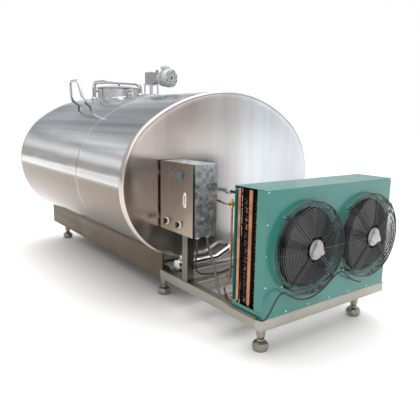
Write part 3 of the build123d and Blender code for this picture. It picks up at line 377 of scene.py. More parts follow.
def lathe(bm, profile, place=Matrix(), sides=64):
    """Turns (radius, height) points about Z; a zero radius closes the end."""
    rows = []
    for radius, height in profile:
        if radius < 1e-6:
            rows.append([bm.verts.new(place @ Vector((0, 0, height)))])
            continue
        ring = []
        for i in range(sides):
            turn = 2 * math.pi * i / sides
            around = (radius * math.cos(turn), radius * math.sin(turn), height)
            ring.append(bm.verts.new(place @ Vector(around)))
        rows.append(ring)
    for a, b in zip(rows, rows[1:]):
        for i in range(sides):
            j = (i + 1) % sides
            if len(a) > 1 and len(b) > 1:
                bm.faces.new((a[i], a[j], b[j], b[i]))
            elif len(a) > 1:
                bm.faces.new((a[i], a[j], b[0]))
            elif len(b) > 1:
                bm.faces.new((a[0], b[j], b[i]))


def softened_line(points, radius, steps=4, closed=False):
    """The points with their corners rounded."""
    points = [Vector(p) for p in points]
    count = len(points)
    out = []
    for i, p in enumerate(points):
        if not closed and i in (0, count - 1):
            out.append(p)
            continue
        before, after = points[i - 1], points[(i + 1) % count]
        one, two = (before - p), (after - p)
        half = one.angle(two, math.pi) / 2
        if half > 1.5:
            out.append(p)
            continue
        back = min(radius / math.tan(half), 0.45 * one.length, 0.45 * two.length)
        arc = back * math.tan(half)
        centre = p + (one.normalized() + two.normalized()).normalized() * (arc / math.sin(half))
        start, end = p + one.normalized() * back - centre, p + two.normalized() * back - centre
        for k in range(steps + 1):
            out.append(centre + start.normalized().slerp(end.normalized(), k / steps) * arc)
    return out


def soft_profile(points, radius, steps=3):
    """A lathe profile with rounded corners."""
    line = softened_line([(r, 0, z) for r, z in points], radius, steps)
    return [(max(p.x, 0), p.z) for p in line]


def wire(bm, line, radius, sides=10, closed=False, flat=1.0):
    """A round section carried along a line of points."""
    line = [Vector(p) for p in line]
    count = len(line)
    rings = []
    across = None
    for i, p in enumerate(line):
        before = line[i - 1] if (i or closed) else p
        after = line[(i + 1) % count] if (i < count - 1 or closed) else p
        along = (after - before).normalized()
        if across is None:
            across = along.orthogonal().normalized()
        across = (across - along * across.dot(along)).normalized()
        up = along.cross(across)
        ring = []
        for k in range(sides):
            turn = 2 * math.pi * k / sides
            ring.append(p + across * radius * math.cos(turn) + up * radius * flat * math.sin(turn))
        rings.append(ring)
    if closed:
        rows = loft(bm, rings, True, False, False)
        a, b = rows[-1], rows[0]

        def gap(step):
            return sum((a[k].co - b[(k + step) % sides].co).length for k in range(sides))

        shift = min(range(sides), key=gap)
        for k in range(sides):
            near, far = (k + shift) % sides, (k + 1 + shift) % sides
            bm.faces.new((a[k], a[(k + 1) % sides], b[far], b[near]))
    else:
        loft(bm, rings)


def circle(centre, radius, u, v, count=72):
    """Points of a circle in the plane of u and v."""
    return [Vector(centre) + Vector(u) * radius * math.cos(2 * math.pi * i / count)
            + Vector(v) * radius * math.sin(2 * math.pi * i / count) for i in range(count)]


def soft_box(bm, low, high, radius=0.002, segments=2):
    """A block with rounded edges."""
    box = bmesh.new()
    bmesh.ops.create_cube(box, size=1.0)
    low, high = Vector(low), Vector(high)
    size, middle = high - low, (low + high) / 2
    for v in box.verts:
        v.co = Vector(v.co[i] * size[i] + middle[i] for i in range(3))
    bmesh.ops.bevel(box, geom=list(box.edges), offset=min(radius, 0.45 * min(size)), segments=segments,
                    affect="EDGES", clamp_overlap=True)
    join(bm, box)


def join(bm, other, place=Matrix()):
    """Adds another mesh's faces, moved by place."""
    table = {v: bm.verts.new(place @ v.co) for v in other.verts}
    for face in other.faces:
        bm.faces.new([table[v] for v in face.verts])
    other.free()


def square_tube(bm, low, high, along, corner=0.007, wall=0.003, open_ends=True):
    """A rectangular tube with rounded corners between its low and high corners."""
    axis = "xyz".index(along)
    a, b = [i for i in range(3) if i != axis]

    def ring(place, inset, radius):
        pts = []
        for sx, sy, start in ((1, 1, 0), (-1, 1, 90), (-1, -1, 180), (1, -1, 270)):
            ca = (high[a] - inset - radius) if sx > 0 else (low[a] + inset + radius)
            cb = (high[b] - inset - radius) if sy > 0 else (low[b] + inset + radius)
            for k in range(5):
                turn = math.radians(start + 22.5 * k)
                p = [0, 0, 0]
                p[axis] = place
                p[a] = ca + radius * math.cos(turn)
                p[b] = cb + radius * math.sin(turn)
                pts.append(p)
        return pts

    ends = (low[axis], high[axis])
    outer = [ring(e, 0, corner) for e in ends]
    if not open_ends:
        eased = 0.0008
        rings = [ring(ends[0], eased, corner - eased), ring(ends[0] + eased, 0, corner),
                 ring(ends[1] - eased, 0, corner), ring(ends[1], eased, corner - eased)]
        loft(bm, rings)
        return
    inner = [ring(e, wall, max(corner - wall, 0.001)) for e in ends]
    loft(bm, [inner[0], outer[0], outer[1], inner[1], inner[0]], True, False, False)


def softened(name, node, finish, body, width=0.0012, segments=2, sharp=30):
    """A copy of a CAD node with its sharp edges eased."""
    bm = bmesh.new()
    bm.from_mesh(nodes[node].data)
    bmesh.ops.remove_doubles(bm, verts=bm.verts, dist=2e-5)
    bmesh.ops.dissolve_limit(bm, angle_limit=math.radians(0.8), verts=bm.verts, edges=bm.edges)
    edges = [e for e in bm.edges if len(e.link_faces) == 2 and e.calc_face_angle(0) > math.radians(50)]
    bmesh.ops.bevel(bm, geom=edges, offset=width, segments=segments, affect="EDGES", clamp_overlap=True)
    return piece(name, bm, finish, body, [node], sharp)


# ---------------------------------------------------------------- tank
def arch(height):
    """Radius of the wide arc above or below."""
    return (HALF_WIDTH ** 2 + height ** 2 - 2 * HALF_WIDTH * CORNER) / (2 * (height - CORNER))


def section(y, inset, wide=40, tight=34):
    """The tank's oval at y: a wide arc above and below, a tight one at each side."""
    side = HALF_WIDTH - CORNER
    top, low = arch(RISE), arch(DROP)
    top_turn = math.atan2(side, top - RISE)
    low_turn = math.atan2(side, low - DROP)
    arcs = [(0, RISE - top, top, -top_turn, top_turn, wide),
            (side, 0, CORNER, top_turn, math.pi - low_turn, tight),
            (0, low - DROP, low, math.pi - low_turn, math.pi + low_turn, wide),
            (-side, 0, CORNER, math.pi + low_turn, 2 * math.pi - top_turn, tight)]
    ring = []
    for cx, cz, radius, start, end, count in arcs:
        for k in range(count):
            turn = start + (end - start) * k / count
            ring.append(Vector((cx + (radius - inset) * math.sin(turn), y,
                                WIDEST + cz + (radius - inset) * math.cos(turn))))
    return ring


def top_height(x):
    """Height of the tank's top surface at x."""
    radius = arch(RISE)
    return WIDEST + RISE - radius + math.sqrt(radius ** 2 - x * x)


def cut_manhole(obj):
    """Opens the skin under the manhole neck."""
    bm = bmesh.new()
    lathe(bm, [(0, 1.5), (0.2252, 1.5), (0.2252, 1.8), (0, 1.8)], Matrix.Translation((0, MANHOLE_Y, 0)), 96)
    bmesh.ops.recalc_face_normals(bm, faces=bm.faces)
    mesh = bpy.data.meshes.new("manhole_cutter")
    bm.to_mesh(mesh)
    bm.free()
    cutter = bpy.data.objects.new("manhole_cutter", mesh)
    bpy.context.scene.collection.objects.link(cutter)
    cut = obj.modifiers.new("manhole", "BOOLEAN")
    cut.operation = "DIFFERENCE"
    cut.solver = "EXACT"
    cut.object = cutter
    bpy.context.view_layer.update()
    done = bpy.data.meshes.new_from_object(obj.evaluated_get(bpy.context.evaluated_depsgraph_get()))
    obj.modifiers.clear()
    obj.data = done
    bpy.data.objects.remove(cutter)


def make_tank():
    """Jacket barrel with its joint strip and grooves, the two flanged ends, and the welds on top."""
    groove, depth, edge = 0.0016, 0.0012, 0.0004
    seam_front, seam_rear = TANK_FRONT + 0.045, TANK_REAR - 0.045
    strip = (TANK_FRONT + STRIP_PLACE - 0.007, TANK_FRONT + STRIP_PLACE + 0.007)
    # From each edge of the strip: the step along y, and the inset there.
    strip_steps = ((-0.003, 0), (-0.0026, 0.0005), (0, 0.0005), (0.0006, -0.0007))
    stations = [(seam_front + groove, depth), (seam_front + groove + edge, 0)]
    for k in range(1, 5):
        stations.append((seam_front + (strip[0] - seam_front) * k / 5, 0))
    stations += [(strip[0] + step, inset) for step, inset in strip_steps]
    stations += [(strip[1] - step, inset) for step, inset in reversed(strip_steps)]
    for k in range(1, 9):
        stations.append((strip[1] + (seam_rear - strip[1]) * k / 9, 0))
    stations += [(seam_rear - groove - edge, 0), (seam_rear - groove, depth)]
    bm = bmesh.new()
    outer = [section(y, inset) for y, inset in stations]
    inner = [section(y, 0.002) for y, _ in (stations[-1], stations[0])]
    loft(bm, outer + inner + [outer[0]], True, False, False)
    bmesh.ops.remove_doubles(bm, verts=bm.verts, dist=1e-6)
    barrel = piece("jacket", bm, "polished_jacket", "tank", ["jacket_barrel"], 40)
    cut_manhole(barrel)
    knuckle = 0.018
    dish = ((0.0215, 0.0004), (0.03, 0.0010), (0.055, 0.0012), (0.12, 0.0009), (0.2, 0.0005), (0.3, 0.0002),
            (0.42, 0.0))        # insets across the end's face, and how far each lies back
    for name, end, seam, sign in (("front_end", TANK_FRONT, seam_front, 1),
                                  ("rear_end", TANK_REAR, seam_rear, -1)):
        rings = [(seam - sign * groove, depth + 0.004), (seam - sign * groove, depth),
                 (seam - sign * (groove + edge), 0), (end + sign * (knuckle + 0.012), 0)]
        for k in range(9):
            turn = math.radians(90 * k / 8)
            back, inset = 0.0002 + knuckle * (1 - math.sin(turn)), knuckle * (1 - math.cos(turn))
            rings.append((end + sign * back, inset))
        for inset, back in dish:
            rings.append((end + sign * back, inset))
        bm = bmesh.new()
        loft(bm, [section(y, inset) for y, inset in rings], True, False, True)
        piece(name, bm, "brushed_end", "tank", ["jacket_end_caps"] if sign > 0 else (), 50)
    bm = bmesh.new()
    for radius, y, rim in ((0.229, MANHOLE_Y, 0.004), (0.097, SHAFT_Y, 0.0035)):
        line = [Vector((p.x, p.y, top_height(p.x) + 0.001)) for p in circle((0, y, 0), radius, X, Y)]
        wire(bm, line, rim, 8, True)
    for x, y in ((SPRAY_X, MANHOLE_Y - 0.01), (0, SPRAY_Y)):
        line = [Vector((p.x, p.y, top_height(p.x) + 0.0005)) for p in circle((x, y, 0), 0.0315, X, Y, 32)]
        wire(bm, line, 0.0022, 6, True)
    piece("weld_beads", bm, "top_steel")


# ---------------------------------------------------------------- base
def make_base():
    """Square tubes, skirts, and the turned legs and feet."""
    bm = bmesh.new()
    for x in (-0.59, 0.53):
        square_tube(bm, (x, FRONT + 0.0605, RAIL_LOW), (x + 2 * RAIL_HALF, -0.624, RAIL_TOP), "y")
    piece("side_rails", bm, "frame_steel")
    bm = bmesh.new()
    square_tube(bm, (-0.59, FRONT, RAIL_LOW), (0.59, FRONT + 2 * RAIL_HALF, RAIL_TOP), "x", open_ends=False)
    piece("front_rail", bm, "cross_steel", "tank", ["frame_rails"])
    bm = bmesh.new()
    for y in BEAM_ROWS:
        square_tube(bm, (-0.5296, y - RAIL_HALF, RAIL_LOW), (0.5296, y + RAIL_HALF, RAIL_TOP), "x")
    piece("frame_cross_beams", bm, "cross_steel", "tank", ["cross_beams"])
    bm = bmesh.new()
    for side in (-1, 1):
        low_x = side * 0.527 - RAIL_HALF
        square_tube(bm, (low_x, -0.621, RAIL_LOW), (low_x + 2 * RAIL_HALF, 1.847, RAIL_TOP), "y")
    piece("base_beams", bm, "frame_steel")
    bm = bmesh.new()
    for y in TANK_BEAM_ROWS:
        square_tube(bm, (-0.4968, y - RAIL_HALF, RAIL_LOW), (0.4968, y + RAIL_HALF, RAIL_TOP), "x")
        saddle = []
        for k in range(41):
            x = -0.496 + 0.992 * k / 40
            low = arch(DROP)
            bottom = WIDEST - DROP + low - math.sqrt(low ** 2 - x * x)
            foot, head = RAIL_TOP - 0.0005, min(bottom - 0.0004, RAIL_TOP + 0.11)
            front, rear = y - 0.006, y + 0.006
            saddle.append([(x, front, foot), (x, rear, foot), (x, rear, head), (x, front, head)])
        loft(bm, saddle)
    piece("tank_cross_beams", bm, "cross_steel", "tank", ["tank_base"])
    softened("skirts", "side_skirts", "brushed_skirt", "tank", 0.001)
    make_legs()


def make_legs():
    """Turned legs, levelling feet and the feet's wrench holes."""

    legs, feet = bmesh.new(), bmesh.new()
    cone = soft_profile([(0.0, 0.084), (0.025, 0.084), (0.0265, 0.094), (0.0355, 0.186), (0.042, 0.192),
                         (0.042, 0.1995), (0.0, 0.1995)], 0.003)
    foot = soft_profile([(0, 0), (0.0445, 0), (0.046, 0.008), (0.0515, 0.021), (0.052, 0.034), (0.046, 0.050),
                         (0.030, 0.062), (0.0232, 0.066), (0.0232, 0.076), (0.0135, 0.077), (0.0135, 0.085),
                         (0, 0.085)], 0.0035)
    for y in LEG_ROWS:
        for side in (-1, 1):
            place = Matrix.Translation((side * LEG_X, y, 0))
            lathe(legs, cone, place, 48)
            lathe(feet, foot, place, 48)
            wire(legs, circle((side * LEG_X, y, 0.1985), 0.0425, X, Y, 40), 0.0014, 6, True)
    piece("turned_legs", legs, "foot_steel", "tank", ["legs"])
    piece("levelling_feet", feet, "foot_steel", "tank", ["feet"])
    bm = bmesh.new()
    for y in LEG_ROWS:
        for side in (-1, 1):
            out = Vector((side * -0.6, -0.8, 0)).normalized()
            centre = Vector((side * LEG_X, y, 0.043)) + out * 0.0492
            tilt = out.to_track_quat("Z", "Y").to_matrix().to_4x4()
            hole = [(0, 0), (0.0042, 0), (0.0042, -0.004), (0, -0.004)]
            lathe(bm, hole, Matrix.Translation(centre) @ tilt, 16)
    piece("foot_wrench_holes", bm, "black_rubber")

    make_frame_welds()


def make_frame_welds():
    """Uneven beads where the frame's tubes meet."""
    welds = bmesh.new()
    rng = random.Random(4)
    for y in BEAM_ROWS:
        for x in (-0.53, 0.53):
            for edge in (y - RAIL_HALF, y + RAIL_HALF):
                line = [(x, edge + rng.uniform(-0.0004, 0.0004), RAIL_TOP - 0.066 + 0.06 * k / 8)
                        for k in range(9)]
                wire(welds, line, 0.0022, 6)
            line = [(x, y - 0.028 + 0.056 * k / 8, RAIL_TOP + rng.uniform(-0.0006, 0.0002)) for k in range(9)]
            wire(welds, line, 0.0022, 6)
    for x in (-0.56, 0.56):
        line = [(x - 0.028 + 0.056 * k / 8, FRONT + 0.0603, RAIL_TOP + rng.uniform(-0.0006, 0.0002))
                for k in range(9)]
        wire(welds, line, 0.0018, 6)
    piece("frame_welds", welds, "frame_steel")


# ---------------------------------------------------------------- cooling unit
STAY_ANGLES = (45, 135, 225, 315)       # double stays and bolts of a fan guard


def fan_blade(bm, hub, turn, spans=14, steps=12):
    """One swept and twisted blade from the drum to its tip."""
    rows = []
    for i in range(spans + 1):
        out = i / spans
        radius = 0.066 + 0.171 * out
        lead = math.radians(34 * out ** 1.3)
        chord = math.radians(60 - 6 * out + 8 * math.sin(math.pi * out))
        depth = 0.056 - 0.016 * out
        row = []
        for k in range(steps + 1):
            v = k / steps - 0.5
            rounded = 1 - 0.30 * max(0, out - 0.82) / 0.18 * (abs(v) * 2) ** 2
            a = turn + lead + chord * v * rounded
            y = -depth * v + 0.010 * (4 * v * v - 1) * (1 - 0.4 * out)
            row.append(Vector((hub[0] + radius * math.cos(a), hub[1] + y, hub[2] + radius * math.sin(a))))
        rows.append(row)
    half_sheet = Vector((0, 0.0013, 0))
    grid = [[bm.verts.new(p - half_sheet) for p in row] for row in rows]
    back = [[bm.verts.new(p + half_sheet) for p in row] for row in rows]
    for i in range(spans):
        for k in range(steps):
            bm.faces.new((grid[i][k], grid[i][k + 1], grid[i + 1][k + 1], grid[i + 1][k]))
            bm.faces.new((back[i][k + 1], back[i][k], back[i + 1][k], back[i + 1][k + 1]))
    rim = [(i, 0) for i in range(spans + 1)] + [(spans, k) for k in range(1, steps + 1)]
    rim += [(i, steps) for i in range(spans - 1, -1, -1)] + [(0, k) for k in range(steps - 1, 0, -1)]
    for (i, k), (m, n) in zip(rim, rim[1:] + rim[:1]):
        bm.faces.new((grid[i][k], grid[m][n], back[m][n], back[i][k]))


def front_place(x, z=FAN_Z):
    """A frame on the fan panel whose Z points out of it."""
    return Matrix.Translation((x, FRONT, z)) @ Matrix.Rotation(math.radians(90), 4, "X")


def spoke(degrees):
    """A direction along the fan panel, turned from X towards up."""
    turn = math.radians(degrees)
    return Vector((math.cos(turn), 0, math.sin(turn)))


def ahead(distance):
    """A step out of the fan panel."""
    return Vector((0, -distance, 0))


def make_fan(number, x):
    """Wheel, guard with its bolts, the rolled lip of the panel's hole, and the motor's nose."""
    centre = Vector((x, FRONT, FAN_Z))
    make_fan_wheel(number, centre)
    make_fan_guard(number, centre)

    bolts = bmesh.new()
    bolt = soft_profile([(0, 0), (0.0105, 0), (0.0105, 0.0018), (0.0068, 0.0022), (0.0068, 0.0072),
                         (0, 0.0080)], 0.0008)
    for angle in STAY_ANGLES:
        spot = centre + spoke(angle) * 0.2885
        lathe(bolts, bolt, front_place(spot.x, spot.z), 24)
    piece(f"fan_{number}_guard_bolts", bolts, "screw_zinc")

    lip = bmesh.new()
    wire(lip, circle(centre + ahead(0.0005), 0.2468, X, Z, 120), 0.0032, 10, True)
    piece(f"fan_{number}_hole_lip", lip, "green_paint")
    make_motor_nose(number, centre)


def make_fan_wheel(number, centre):
    """Five blades on a ribbed drum."""
    bm = bmesh.new()
    for k in range(5):
        fan_blade(bm, centre + ahead(0.016), math.radians(90 + 72 * k + 20 * number))
    drum = soft_profile([(0, -0.043), (0.068, -0.043), (0.068, 0.040), (0.056, 0.040), (0.052, 0.034),
                         (0.013, 0.034), (0.013, 0.010), (0, 0.010)], 0.004)
    lathe(bm, drum, front_place(centre.x), 64)
    for k in range(20):
        rib = centre + spoke(18 * k) * 0.0675
        wire(bm, [rib + ahead(0.036), rib - ahead(0.036)], 0.0018, 6)
    piece(f"fan_{number}_wheel", bm, "fan_black", f"fan_{number}", [f"fan_impeller_{number}"], 30)


def make_fan_guard(number, centre):
    """Rings of wire out to the rim, with double stays to the bolts and single ones between them."""
    bm = bmesh.new()
    hub, gauge = 0.0605, 0.0025
    radius = 0.2515
    while radius > 0.074:
        wire(bm, circle(centre + ahead(0.070), radius, X, Z, 96), gauge, 6, True)
        radius -= 0.0112
    for ring, out in ((0.2635, 0.0665), (0.2735, 0.058), (0.2790, 0.046), (0.2795, 0.033), (0.2795, 0.020)):
        wire(bm, circle(centre + ahead(out), ring, X, Z, 108), gauge, 6, True)
    wire(bm, circle(centre + ahead(0.0705), hub, X, Z, 48), 0.0024, 8, True)
    for angle in STAY_ANGLES:
        out, side = spoke(angle), spoke(angle + 90)
        for gap in (-0.0085, 0.0085):
            root, reach = centre + side * gap, centre + side * gap * 0.9
            line = [root + out * hub + ahead(0.0738), reach + out * 0.256 + ahead(0.0738),
                    reach + out * 0.2842 + ahead(0.052), reach + out * 0.2846 + ahead(0.004)]
            wire(bm, softened_line(line, 0.03, 8), 0.0030, 8)
        loop = [centre + out * 0.2835 + side * 0.0085 * math.cos(math.pi * k / 12)
                + out * 0.0125 * math.sin(math.pi * k / 12) + ahead(0.0035) for k in range(13)]
        wire(bm, loop, 0.0030, 8)
    for angle in (0, 90, 180, 270):
        out = spoke(angle)
        line = [centre + out * hub + ahead(0.0728), centre + out * 0.2525 + ahead(0.0728),
                centre + out * 0.2808 + ahead(0.050), centre + out * 0.2812 + ahead(0.018)]
        wire(bm, softened_line(line, 0.03, 8), 0.0018, 6)
    stands_for = ["fan_guards"] if number == 1 else ()
    piece(f"fan_{number}_guard", bm, "guard_black", "tank", stands_for)


def lobed(radius, lobe, count=72):
    """An outline with three lobes, one pointing up."""
    line = []
    for k in range(count):
        turn = 2 * math.pi * k / count
        wave = 0.5 + 0.5 * math.cos(3 * (turn - math.radians(90)))
        line.append((turn, radius + lobe * wave ** 1.6))
    return line


def make_motor_nose(number, centre):
    """Cast cover of the fan motor: three lobes on a flat disc, with bolts and ribs."""
    bm = bmesh.new()
    disc = soft_profile([(0, 0.013), (0.0118, 0.013), (0.0118, 0.064), (0.057, 0.0645), (0.0595, 0.068),
                         (0.0595, 0.0765), (0.045, 0.079), (0, 0.079)], 0.002)
    lathe(bm, disc, front_place(centre.x), 56)
    levels = [(0.0775, 0.034, 0.0235), (0.090, 0.0328, 0.023), (0.0955, 0.0305, 0.021),
              (0.0985, 0.0265, 0.017), (0.0996, 0.021, 0.012), (0.0980, 0.014, 0.004)]
    rings = []
    for out, radius, lobe in levels:
        rings.append([centre + Vector((r * math.cos(t), -out, r * math.sin(t)))
                      for t, r in lobed(radius, lobe)])
    loft(bm, rings)
    bolt = soft_profile([(0, 0.085), (0.0068, 0.085), (0.0068, 0.0985), (0.0030, 0.0985), (0.0030, 0.0955),
                         (0, 0.0955)], 0.0006)
    for k in range(3):
        spot = centre + spoke(90 + 120 * k) * 0.0435
        lathe(bm, bolt, front_place(spot.x, spot.z), 20)
        for spread in (-0.2, 0.2):
            rib = spoke(30 + 120 * k + math.degrees(spread))
            wire(bm, [centre + rib * 0.034 + ahead(0.079), centre + rib * 0.056 + ahead(0.0775)], 0.0020, 6)
    cap = soft_profile([(0, 0.095), (0.011, 0.095), (0.011, 0.0990), (0.0085, 0.0992), (0, 0.0992)], 0.0008)
    lathe(bm, cap, front_place(centre.x), 32)
    stands_for = ["fan_motor_noses"] if number == 1 else ()
    piece(f"fan_{number}_motor_nose", bm, "cast_aluminium", "tank", stands_for, 40)


def make_unit():
    """Fans, casing screws, the casing's top and tray, and the coil's ends."""
    for number, x in enumerate(FAN_X, 1):
        make_fan(number, x)
    screws = bmesh.new()
    spots = [(x, 1.010 - 0.181 * k) for x in (-0.576, 0.561) for k in range(4)]
    spots += [(-0.4 + 0.197 * k, 0.286) for k in range(5)]
    head = soft_profile([(0, 0), (0.0052, 0), (0.0048, 0.0012), (0.0020, 0.0021), (0, 0.0021)], 0.0003)
    rng = random.Random(7)
    for x, z in spots:
        lathe(screws, head, front_place(x, z), 20)
        slot_middle = Vector((x, FRONT - 0.0019, z))
        turn = rng.uniform(0, math.pi)
        for angle in (turn, turn + math.pi / 2):
            reach = Vector((math.cos(angle), 0, math.sin(angle))) * 0.0026
            wire(screws, [slot_middle - reach, slot_middle + reach], 0.0004, 4)
    piece("casing_screws", screws, "screw_zinc", "tank", ["case_screws"])
    softened("casing_top", "case_top", "green_paint", "tank", 0.0009)
    tray = softened("casing_tray", "case_tray", "green_paint", "tank", 0.0009)
    tray.data.materials.append(finishes["coil_fins"].material)
    for face in tray.data.polygons:
        middle = face.center
        if FRONT + 0.07 < middle.y < FRONT + 0.26 and middle.z > 0.277 and -0.549 < middle.x < 0.535:
            face.material_index = 1
    make_coil()


def make_coil():
    """Return bends on both tube plates, with the rows of tube ends beside them."""
    plates = ((-1, -0.547), (1, 0.532))     # each tube plate's side and x
    pitch, bend = 0.05, 0.0125
    rows = int((1.004 - 0.298 - 0.030) / pitch)
    bends = bmesh.new()
    for side, x in plates:
        for y in (FRONT + 0.099, FRONT + 0.187):
            for row in range(rows):
                z = 0.328 + pitch * row
                line = [Vector((x, y, z - bend))]
                for k in range(13):
                    turn = -math.pi / 2 + math.pi * k / 12
                    out = x + side * (0.006 + 0.0122 * math.cos(turn))
                    line.append(Vector((out, y, z + bend * math.sin(turn))))
                line.append(Vector((x, y, z + bend)))
                wire(bends, line, 0.0046, 10)
    piece("coil_bends", bends, "dark_copper", "tank", ["return_bends"])
    collars = bmesh.new()
    for side, x in plates:
        for y in (FRONT + 0.099, FRONT + 0.128, FRONT + 0.187, FRONT + 0.216):
            for row in range(2 * rows):
                spot = (x + side * 0.0008, y, 0.3155 + pitch / 2 * row)
                wire(collars, circle(spot, 0.0060, Y, Z, 14), 0.0010, 5, True)
    piece("tube_collars", collars, "dark_copper")


# ---------------------------------------------------------------- pipes
def pipe(bm, points, bend, radius, sides=20, steps=8):
    """A tube bent round at its corners."""
    wire(bm, softened_line(points, bend, steps), radius, sides)


def make_pipes():
    """Grab rail, cleaning pipe with its spray balls, and the tape on the cooling pipe."""
    top = WIDEST + RISE
    bm = bmesh.new()
    pipe(bm, [(-0.44, MANHOLE_Y - 0.025, top - 0.11), (-0.545, MANHOLE_Y - 0.025, top - 0.042),
              (-0.572, MANHOLE_Y - 0.08, top + 0.13), (-0.59, MANHOLE_Y - 0.335, top + 0.13),
              (-0.578, MANHOLE_Y - 0.413, top - 0.049), (-0.48, MANHOLE_Y - 0.405, top - 0.135)],
         0.075, 0.0138)
    piece("grip_rail", bm, "polished_pipe", "tank", ["grab_rail"])
    bm = bmesh.new()
    ends = ((SPRAY_X, MANHOLE_Y - 0.01, top_height(SPRAY_X) - 0.083), (0, SPRAY_Y, top - 0.12))
    pipe(bm, [ends[0], (SPRAY_X, MANHOLE_Y - 0.01, top + 0.142), (SPRAY_X, MANHOLE_Y - 0.315, top + 0.136),
              (0, SPRAY_Y, top + 0.124), ends[1]], 0.055, 0.019, 28, 10)
    union = soft_profile([(0.0192, -0.03), (0.030, -0.03), (0.030, 0.020), (0.026, 0.024), (0.026, 0.034),
                          (0.0192, 0.036)], 0.002)
    for x, y, z in ends:
        lathe(bm, union, Matrix.Translation((x, y, top_height(x))), 40)
        ball = bmesh.new()
        bmesh.ops.create_uvsphere(ball, u_segments=24, v_segments=16, radius=0.026)
        join(bm, ball, Matrix.Translation((x, y, z - 0.022)))
    piece("wash_pipe", bm, "polished_pipe", "tank", ["cleaning_pipe"])
    make_feed_tape()


def make_feed_tape():
    """Tape wound round the pipe beside the cabinet."""
    bm = bmesh.new()
    start, end = Vector((-0.4116, -1.1187, 0.8511)), Vector((-0.38, -0.9527, 0.8567))
    across = (end - start).cross(Z).normalized()
    turns = 24
    for k in range(turns):
        middle = start.lerp(end, k / (turns - 1))
        wire(bm, circle(middle, 0.0068 + 0.0002 * (k % 2), Z, across, 24), 0.0012, 6, True)
    piece("feed_tape", bm, "tape_blue")


# ---------------------------------------------------------------- cabinet
def make_cabinet():
    """Shell, door, post and display, with the display's glass and lit segments."""
    softened("cabinet_box", "cabinet_shell", "galvanised", "tank", 0.0007)
    softened("cabinet_front", "cabinet_door", "brushed_door", "cabinet_door", 0.0007)
    softened("cabinet_stand", "cabinet_post", "post_steel", "tank", 0.0012)
    softened("display_bezel", "display_unit", "display_black", "cabinet_door", 0.0006)
    face, middle = -0.6275, 1.0265      # front of the bezel, and height of the display's middle
    glass = bmesh.new()
    soft_box(glass, (face - 0.0012, -0.9026, 1.0144), (face + 0.0002, -0.8334, 1.0386), 0.0003, 1)
    piece("display_window", glass, "window_glass", "cabinet_door")

    def lit_mark(bm, y, z, half_width, half_height, corner):
        soft_box(bm, (face - 0.0019, y - half_width, z - half_height),
                 (face - 0.0013, y + half_width, z + half_height), corner, 1)

    lit = bmesh.new()
    for k in range(3):
        y = -0.862 - 0.013 * k
        for dz in (0.0072, 0, -0.0072):
            lit_mark(lit, y, middle + dz, 0.0031, 0.0007, 0.0002)
        for dz in (-0.0036, 0.0036):
            for dy in (-0.0036, 0.0036) if k != 1 else (-0.0036,):
                lit_mark(lit, y + dy, middle + dz, 0.0007, 0.003, 0.0002)
    piece("display_segments", lit, "lit_red", "cabinet_door")
    marks = bmesh.new()
    for dz in (0.007, 0, -0.007):
        lit_mark(marks, -0.8415, middle + dz, 0.002, 0.0016, 0.0004)
    piece("display_marks", marks, "lit_cyan", "cabinet_door")


# ---------------------------------------------------------------- cords
# Each cable's route, with y measured from the frame's front, in metres.
CONDUIT = [(-0.462, 0.705, 0.598), (-0.462, 0.705, 0.552), (-0.468, 0.664, 0.498),
           (-0.486, 0.596, 0.440), (-0.512, 0.536, 0.380), (-0.540, 0.482, 0.325),
           (-0.566, 0.425, 0.294), (-0.592, 0.360, 0.288), (-0.601, 0.300, 0.279),
           (-0.603, 0.245, 0.274), (-0.602, 0.190, 0.275), (-0.603, 0.135, 0.274),
           (-0.602, 0.082, 0.275), (-0.602, 0.034, 0.275)]
FAN_CABLE = [(-0.602, 0.0338, 0.275), (-0.602, -0.003, 0.275), (-0.597, -0.029, 0.291),
             (-0.582, -0.042, 0.321), (-0.560, -0.046, 0.358), (-0.530, -0.042, 0.396),
             (-0.494, -0.038, 0.425), (-0.453, -0.036, 0.428), (-0.412, -0.035, 0.396),
             (-0.350, -0.035, 0.362), (-0.272, -0.036, 0.342), (-0.191, -0.035, 0.348),
             (-0.112, -0.035, 0.376), (-0.043, -0.036, 0.424), (0.020, -0.040, 0.462),
             (0.072, -0.038, 0.452), (0.128, -0.035, 0.408), (0.190, -0.035, 0.369),
             (0.262, -0.036, 0.345)]
COMPRESSOR_CABLE = [(-0.551, 0.698, 0.598), (-0.551, 0.698, 0.540), (-0.554, 0.704, 0.476),
                    (-0.548, 0.728, 0.412), (-0.515, 0.762, 0.352), (-0.460, 0.790, 0.304),
                    (-0.395, 0.792, 0.292), (-0.330, 0.780, 0.288), (-0.265, 0.745, 0.300),
                    (-0.215, 0.715, 0.336)]


def make_cord(name, node, route, radius, finish):
    """A cable as one smooth line along its route."""
    curve = bpy.data.curves.new(name, "CURVE")
    curve.dimensions = "3D"
    curve.bevel_depth = radius
    curve.bevel_resolution = 5
    curve.use_fill_caps = True
    line = curve.splines.new("NURBS")
    line.points.add(len(route) - 1)
    for point, (x, y, z) in zip(line.points, route):
        point.co = (x, FRONT + y, z, 1)
    line.order_u = 3
    line.use_endpoint_u = True
    line.resolution_u = 10
    obj = bpy.data.objects.new(name, curve)
    bpy.context.scene.collection.objects.link(obj)
    settle(obj, finish, "tank", [node])
    x, y, z = route[0]
    FRONT + y


def make_cords():
    """The fans' conduit and cable, and the compressor's cable."""
    make_cord("fan_conduit_line", "fan_conduit", CONDUIT, 0.009, "conduit_grey")
    make_cord("fan_cable_line", "fan_cable", FAN_CABLE, 0.005, "cable_black")
    make_cord("compressor_cable_line", "compressor_cable", COMPRESSOR_CABLE, 0.007, "cable_black")


